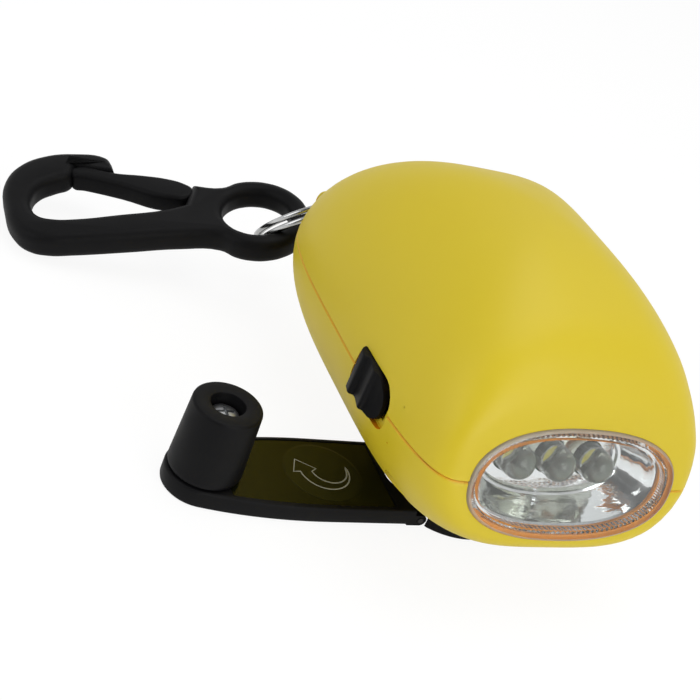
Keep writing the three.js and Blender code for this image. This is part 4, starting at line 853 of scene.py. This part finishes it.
# Snap hook
# A hook moulded in black nylon with a round eye at its root and well rounded limbs.
# Its gate is a thin tongue that springs back against the nose.
hook_frame = Matrix((
    (0.9236, 0.2578, -0.2837, -21.84), (-0.2952, 0.9504, -0.0974, 56.02),
    (0.2446, 0.1738, 0.9539, 14.14), (0, 0, 0, 1),
))
hook_reach = 45.4
eye_radius, eye_hole_radius = 9.8, 6.2
hook_thickness, hook_edge = 5, 1.75
gate_thickness, gate_edge = 4, 0.9
neck_shares = [(-0.268, 0.153), (-0.289, 0.017)]
inner_shares = [
    (-0.372, -0.027), (-0.535, -0.079), (-0.697, -0.128), (-0.779, -0.139), (-0.831, -0.127),
    (-0.867, -0.081), (-0.88, -0.006), (-0.858, 0.065), (-0.802, 0.117), (-0.755, 0.151),
]
nose_shares = [(-0.741, 0.22), (-0.583, 0.198), (-0.601, 0.254)]
outer_shares = [
    (-0.624, 0.29), (-0.76, 0.302), (-0.884, 0.262), (-0.969, 0.178), (-1, 0.057), (-0.974, -0.077),
    (-0.929, -0.193), (-0.86, -0.262), (-0.779, -0.278), (-0.693, -0.266), (-0.491, -0.223),
    (-0.288, -0.177),
]


def moulded_flat(name, outlines, thickness, edge):
    """A flat moulding with rounded edges, from closed outlines of points, each marked if a corner."""
    curve = bpy.data.curves.new(name, "CURVE")
    curve.dimensions = "2D"
    curve.fill_mode = "BOTH"
    curve.extrude = thickness / 2 - edge
    curve.bevel_depth = edge
    curve.bevel_resolution = 4
    curve.offset = -edge
    for points in outlines:
        spline = curve.splines.new("BEZIER")
        spline.bezier_points.add(len(points) - 1)
        spline.use_cyclic_u = True
        spline.resolution_u = 5
        for point, (x, y, corner) in zip(spline.bezier_points, points):
            point.co = (x, y, 0)
            point.handle_left_type = point.handle_right_type = "VECTOR" if corner else "AUTO"
    made = curve_form(curve)
    bmesh.ops.remove_doubles(made, verts=made.verts, dist=0.01)
    return made


def scaled(shares, corner=False):
    """Outline points in millimetres from shares of the hook's reach."""
    return [(x * hook_reach, y * hook_reach, corner) for x, y in shares]


low_turn = math.atan2(-0.166, -0.139)
high_turn = math.atan2(0.15, -0.149)
eye_arc = [low_turn + (high_turn - low_turn) * k / 14 for k in range(15)]
eye_line = [(eye_radius * math.cos(a), eye_radius * math.sin(a), False) for a in eye_arc]
hook_outline = eye_line + scaled(neck_shares, True) + scaled(inner_shares)
hook_outline += scaled(nose_shares, True) + scaled(outer_shares)
eye_hole = [(x, y, False) for x, y in arc(0, 0, eye_hole_radius, 0, -22.5, 16)]
hook = moulded_flat("hook_outline", [hook_outline, eye_hole], hook_thickness, hook_edge)
bmesh.ops.transform(hook, matrix=hook_frame, verts=hook.verts)
add_piece("snap_hook_body", hook, black, "hook", ["snap_hook"], crease=50)

gate_shares = [
    (-0.375, 0.06), (-0.549, 0.113), (-0.7, 0.15), (-0.748, 0.158), (-0.752, 0.205), (-0.607, 0.2),
    (-0.574, 0.195), (-0.477, 0.195), (-0.365, 0.185), (-0.3, 0.163), (-0.262, 0.13), (-0.268, 0.08),
]
gate = moulded_flat("gate_outline", [scaled(gate_shares)], gate_thickness, gate_edge)
bmesh.ops.transform(gate, matrix=hook_frame, verts=gate.verts)
add_piece("hook_gate_tongue", gate, black, "gate", ["hook_gate"], crease=50)


# Parts inside the shell
# The geared generator, the cells, the boards and all their screws sit inside, as the CAD model has them.
# Each keeps its own shape and gets the finish of what it is made of.


def wave_scale(pitch):
    """The scale at which a wave texture repeats every so many millimetres."""
    return 1000 * math.pi / 10 / pitch


# undyed nylon: a waxy cream that lets a little light in
nylon, look = start_material("natural_gear_nylon", Roughness=0.45, Subsurface_Weight=0.1)
vary_colour(look, "E2DDCD", "EDE9DC", 3)
set_grain(look, 0.3, 0.01, 0.3)
# turned bar: a warm yellow metal with soft glints
brass, look = start_material("turned_brass", Metallic=1.0, Roughness=0.28)
vary_colour(look, "B88F45", "CDA65C", 2)
# plated sheet, blanked and bent: pale grey with cloudy dull patches
sheet_steel, look = start_material("zinc_plated_sheet", Metallic=1.0, Roughness=0.38)
vary_colour(look, "AEB0B2", "C6C8C9", 4)
vary_roughness(look, 0.3, 0.5, 2)
# bare stamped sheets of 0.5 mm, dark grey: level lines, drawn every 0.99 mm, twice as coarse as real
core, look = start_material("stacked_laminations", Metallic=1.0, Roughness=0.5)
vary_colour(look, "6E7072", "85878A", 1)
tree, shader, place = look
sheet_waves = {"Vector": place, "Scale": wave_scale(0.987)}
layers = add_node(tree, "TexWave", sheet_waves, wave_type="BANDS", bands_direction="Z").outputs["Fac"]
add_bump(look, layers, 0.6, 0.05)
# ferrite powder pressed in resin: matt charcoal with a fine grain
magnet, look = start_material("bonded_ferrite", Roughness=0.55)
vary_colour(look, "3A3A3C", "4A4A4C", 1.5)
set_grain(look, 0.25, 0.02, 0.5)
# lacquered wire of 0.3 mm, turn by turn: red brown ridges, drawn every 0.59 mm, twice as coarse as real
copper, look = start_material("enamelled_copper_wire", Metallic=1.0, Roughness=0.3)
vary_colour(look, "A8622E", "C07A40", 1)
tree, shader, place = look
wire_waves = {"Vector": place, "Scale": wave_scale(0.592)}
winding = add_node(tree, "TexWave", wire_waves, wave_type="BANDS", bands_direction="Y").outputs["Fac"]
add_bump(look, winding, 0.8, 0.1)
# moulded without dye: a plain ivory with a low sheen
bobbin, look = start_material("moulded_bobbin_nylon", Roughness=0.5)
vary_colour(look, "DAD3C2", "E6E0D2", 3)
# moulded black with a spark eroded texture: a dull dark grey
tray, look = start_material("black_tray_abs", Roughness=0.5)
vary_colour(look, "222224", "2C2C2F", 4)
set_grain(look, 0.3, 0.012, 0.4)
# drawn and nickel plated: a pale, fairly sharp mirror
cell_can, look = start_material("nickel_plated_cell_can", Metallic=1.0, Roughness=0.25)
vary_colour(look, "BEBFC0", "D6D7D7", 3)
# resist printed over woven glass: glossy green with a faint weave of 0.6 mm
laminate, look = start_material("green_solder_resist", Roughness=0.3)
vary_colour(look, "1F5A2E", "2C7040", 3)
tree, shader, place = look
weave = add_node(tree, "TexChecker", {"Vector": place, "Scale": 1000 / 0.6}).outputs["Fac"]
add_bump(look, weave, 0.2, 0.02)
# plastic film shrunk on: a smooth blue black shine
sleeve, look = start_material("shrunk_capacitor_sleeve", Roughness=0.25)
vary_colour(look, "16181F", "20232C", 2)
# steel blackened in a hot salt bath: dark, with a dull metal glint at the hinge
blackened, look = start_material("blackened_steel_pin", Metallic=1.0, Roughness=0.4)
vary_colour(look, "38383A", "48484A", 1)
finish_of = {
    "screw": steel, "pin": blackened, "axle": steel, "shaft": steel, "gear_plate": sheet_steel,
    "switch_body": sheet_steel, "drive_gear": nylon, "idler_gear": nylon, "crank_bush": brass,
    "bearing_bridge": brass, "stator_core": core, "rotor_magnet": magnet, "stator_coil": copper,
    "coil_bobbin": bobbin, "cell_holder": tray, "cell_1": cell_can, "cell_2": cell_can, "cell_3": cell_can,
    "board": laminate, "capacitor": sleeve,
}
for name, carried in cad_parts.items():
    if carried.hide_render:
        continue
    chosen = next(material for word, material in finish_of.items() if word in name)
    carried.data.materials.clear()
    carried.data.materials.append(chosen)


# Floor, light and camera
# The light stands on a plain white studio sweep, which keeps a soft shadow under it.
# Wide lamps above, in front and at the left keep it evenly lit, and the camera looks down at the lens.
floor_reach, floor_gap = 6, 0.00005
mirrored_level, white_level, glow_strength = 0.45, 0.85, 1.06
floor_mesh = bmesh.new()
bmesh.ops.create_grid(floor_mesh, x_segments=1, y_segments=1, size=floor_reach)
bmesh.ops.translate(floor_mesh, verts=floor_mesh.verts, vec=(0, 0, -floor_gap))
ground = bpy.data.meshes.new("studio_floor")
floor_mesh.to_mesh(ground)
floor_mesh.free()
floor_object = bpy.data.objects.new("studio_floor", ground)
bpy.context.scene.collection.objects.link(floor_object)
# matt white paper: the camera sees it nearly plain white, mirrors see less of it, and shadows stay soft
paper, look = start_material("white_studio_paper", Roughness=0.9)
tree, shader, place = look
shader.inputs["Base Color"].default_value = (0.86, 0.86, 0.86, 1)
path = add_node(tree, "LightPath", {}).outputs
mirrored = add_node(tree, "Math", {0: path["Is Glossy Ray"], 1: mirrored_level}, operation="MULTIPLY")
seen = {0: path["Is Camera Ray"], 1: mirrored.outputs[0]}
seen_or_mirrored = add_node(tree, "Math", seen, operation="MAXIMUM").outputs[0]
through = {0: seen_or_mirrored, 1: path["Is Transmission Ray"]}
seen_at_all = add_node(tree, "Math", through, operation="MAXIMUM").outputs[0]
white_share = add_node(tree, "Math", {0: seen_at_all, 1: white_level}, operation="MULTIPLY").outputs[0]
glow = add_node(tree, "Emission", {"Color": (1, 1, 1, 1), "Strength": glow_strength}).outputs[0]
blend = add_node(tree, "MixShader", {0: white_share, 1: shader.outputs[0], 2: glow})
tree.links.new(blend.outputs[0], tree.nodes["Material Output"].inputs["Surface"])
ground.materials.append(paper)

world = bpy.data.worlds.new("studio_room")
world.use_nodes = True
bpy.context.scene.world = world
tree = world.node_tree
backdrop = tree.nodes["Background"]
direction = add_node(tree, "TexCoord", {}).outputs["Generated"]
height = add_node(tree, "SeparateXYZ", {"Vector": direction}).outputs["Z"]
wall_levels = {"From Min": 0.0, "From Max": 0.9, "To Min": 0.85, "To Max": 0.35}
walls = add_node(tree, "MapRange", {"Value": height, **wall_levels}).outputs["Result"]
# the room is dark on the camera's own side, so that black plastic doesn't mirror it as a grey veil
to_camera = add_node(tree, "VectorMath", {0: direction, 1: (-0.5, -0.75, 0.43)}, operation="DOT_PRODUCT")
shade_levels = {"From Min": 0.55, "From Max": 0.9, "To Min": 1, "To Max": 0.12}
shade_map = add_node(tree, "MapRange", {"Value": to_camera.outputs["Value"], **shade_levels})
room_values = {0: walls, 1: shade_map.outputs["Result"]}
room = add_node(tree, "Math", room_values, operation="MULTIPLY").outputs[0]
path = add_node(tree, "LightPath", {}).outputs
level_values = {0: path["Is Camera Ray"], 2: room, 3: 1.0}
level = add_node(tree, "Mix", level_values, data_type="FLOAT").outputs[0]
backdrop.inputs["Color"].default_value = (1, 1, 1, 1)
tree.links.new(level, backdrop.inputs["Strength"])

lamp_aim = Vector((-0.005, 0.01, 0.02))
for name, spot, size, watts in (
    ("overhead_softbox", (0.05, 0.05, 0.62), 0.55, 1.5),
    ("front_softbox", (0.05, -0.5, 0.25), 0.4, 1.25),
    ("left_softbox", (-0.55, -0.1, 0.3), 0.35, 0.6),
):
    lamp = bpy.data.lights.new(name, "AREA")
    lamp.shape = "SQUARE"
    lamp.size = size
    lamp.energy = watts
    lamp_object = bpy.data.objects.new(name, lamp)
    lamp_object.location = spot
    lamp_object.rotation_mode = "QUATERNION"
    lamp_object.rotation_quaternion = (lamp_aim - Vector(spot)).to_track_quat("-Z", "Y")
    bpy.context.scene.collection.objects.link(lamp_object)

photo_pixels, focal_pixels = 700, 1242.36
centre_across, centre_down = 390.28, 312.19
camera_spot = (-0.11201, -0.12967, 0.11555)
heading, tilt, lean = 0.5948, 0.4832, 0.4253
camera = bpy.data.cameras.new("photo_camera")
camera.sensor_width = 36
camera.lens = camera.sensor_width * focal_pixels / photo_pixels
camera.shift_x = (photo_pixels / 2 - centre_across) / photo_pixels
camera.shift_y = (centre_down - photo_pixels / 2) / photo_pixels
camera.clip_start = 0.01
camera_object = bpy.data.objects.new("photo_camera", camera)
camera_object.matrix_world = (
    Matrix.Translation(camera_spot)
    @ Matrix.Rotation(-heading, 4, "Z")
    @ Matrix.Rotation(math.pi / 2 - tilt, 4, "X")
    @ Matrix.Rotation(lean, 4, "Z")
)
bpy.context.scene.collection.objects.link(camera_object)
bpy.context.scene.camera = camera_object
bpy.context.scene.view_settings.view_transform = "Standard"
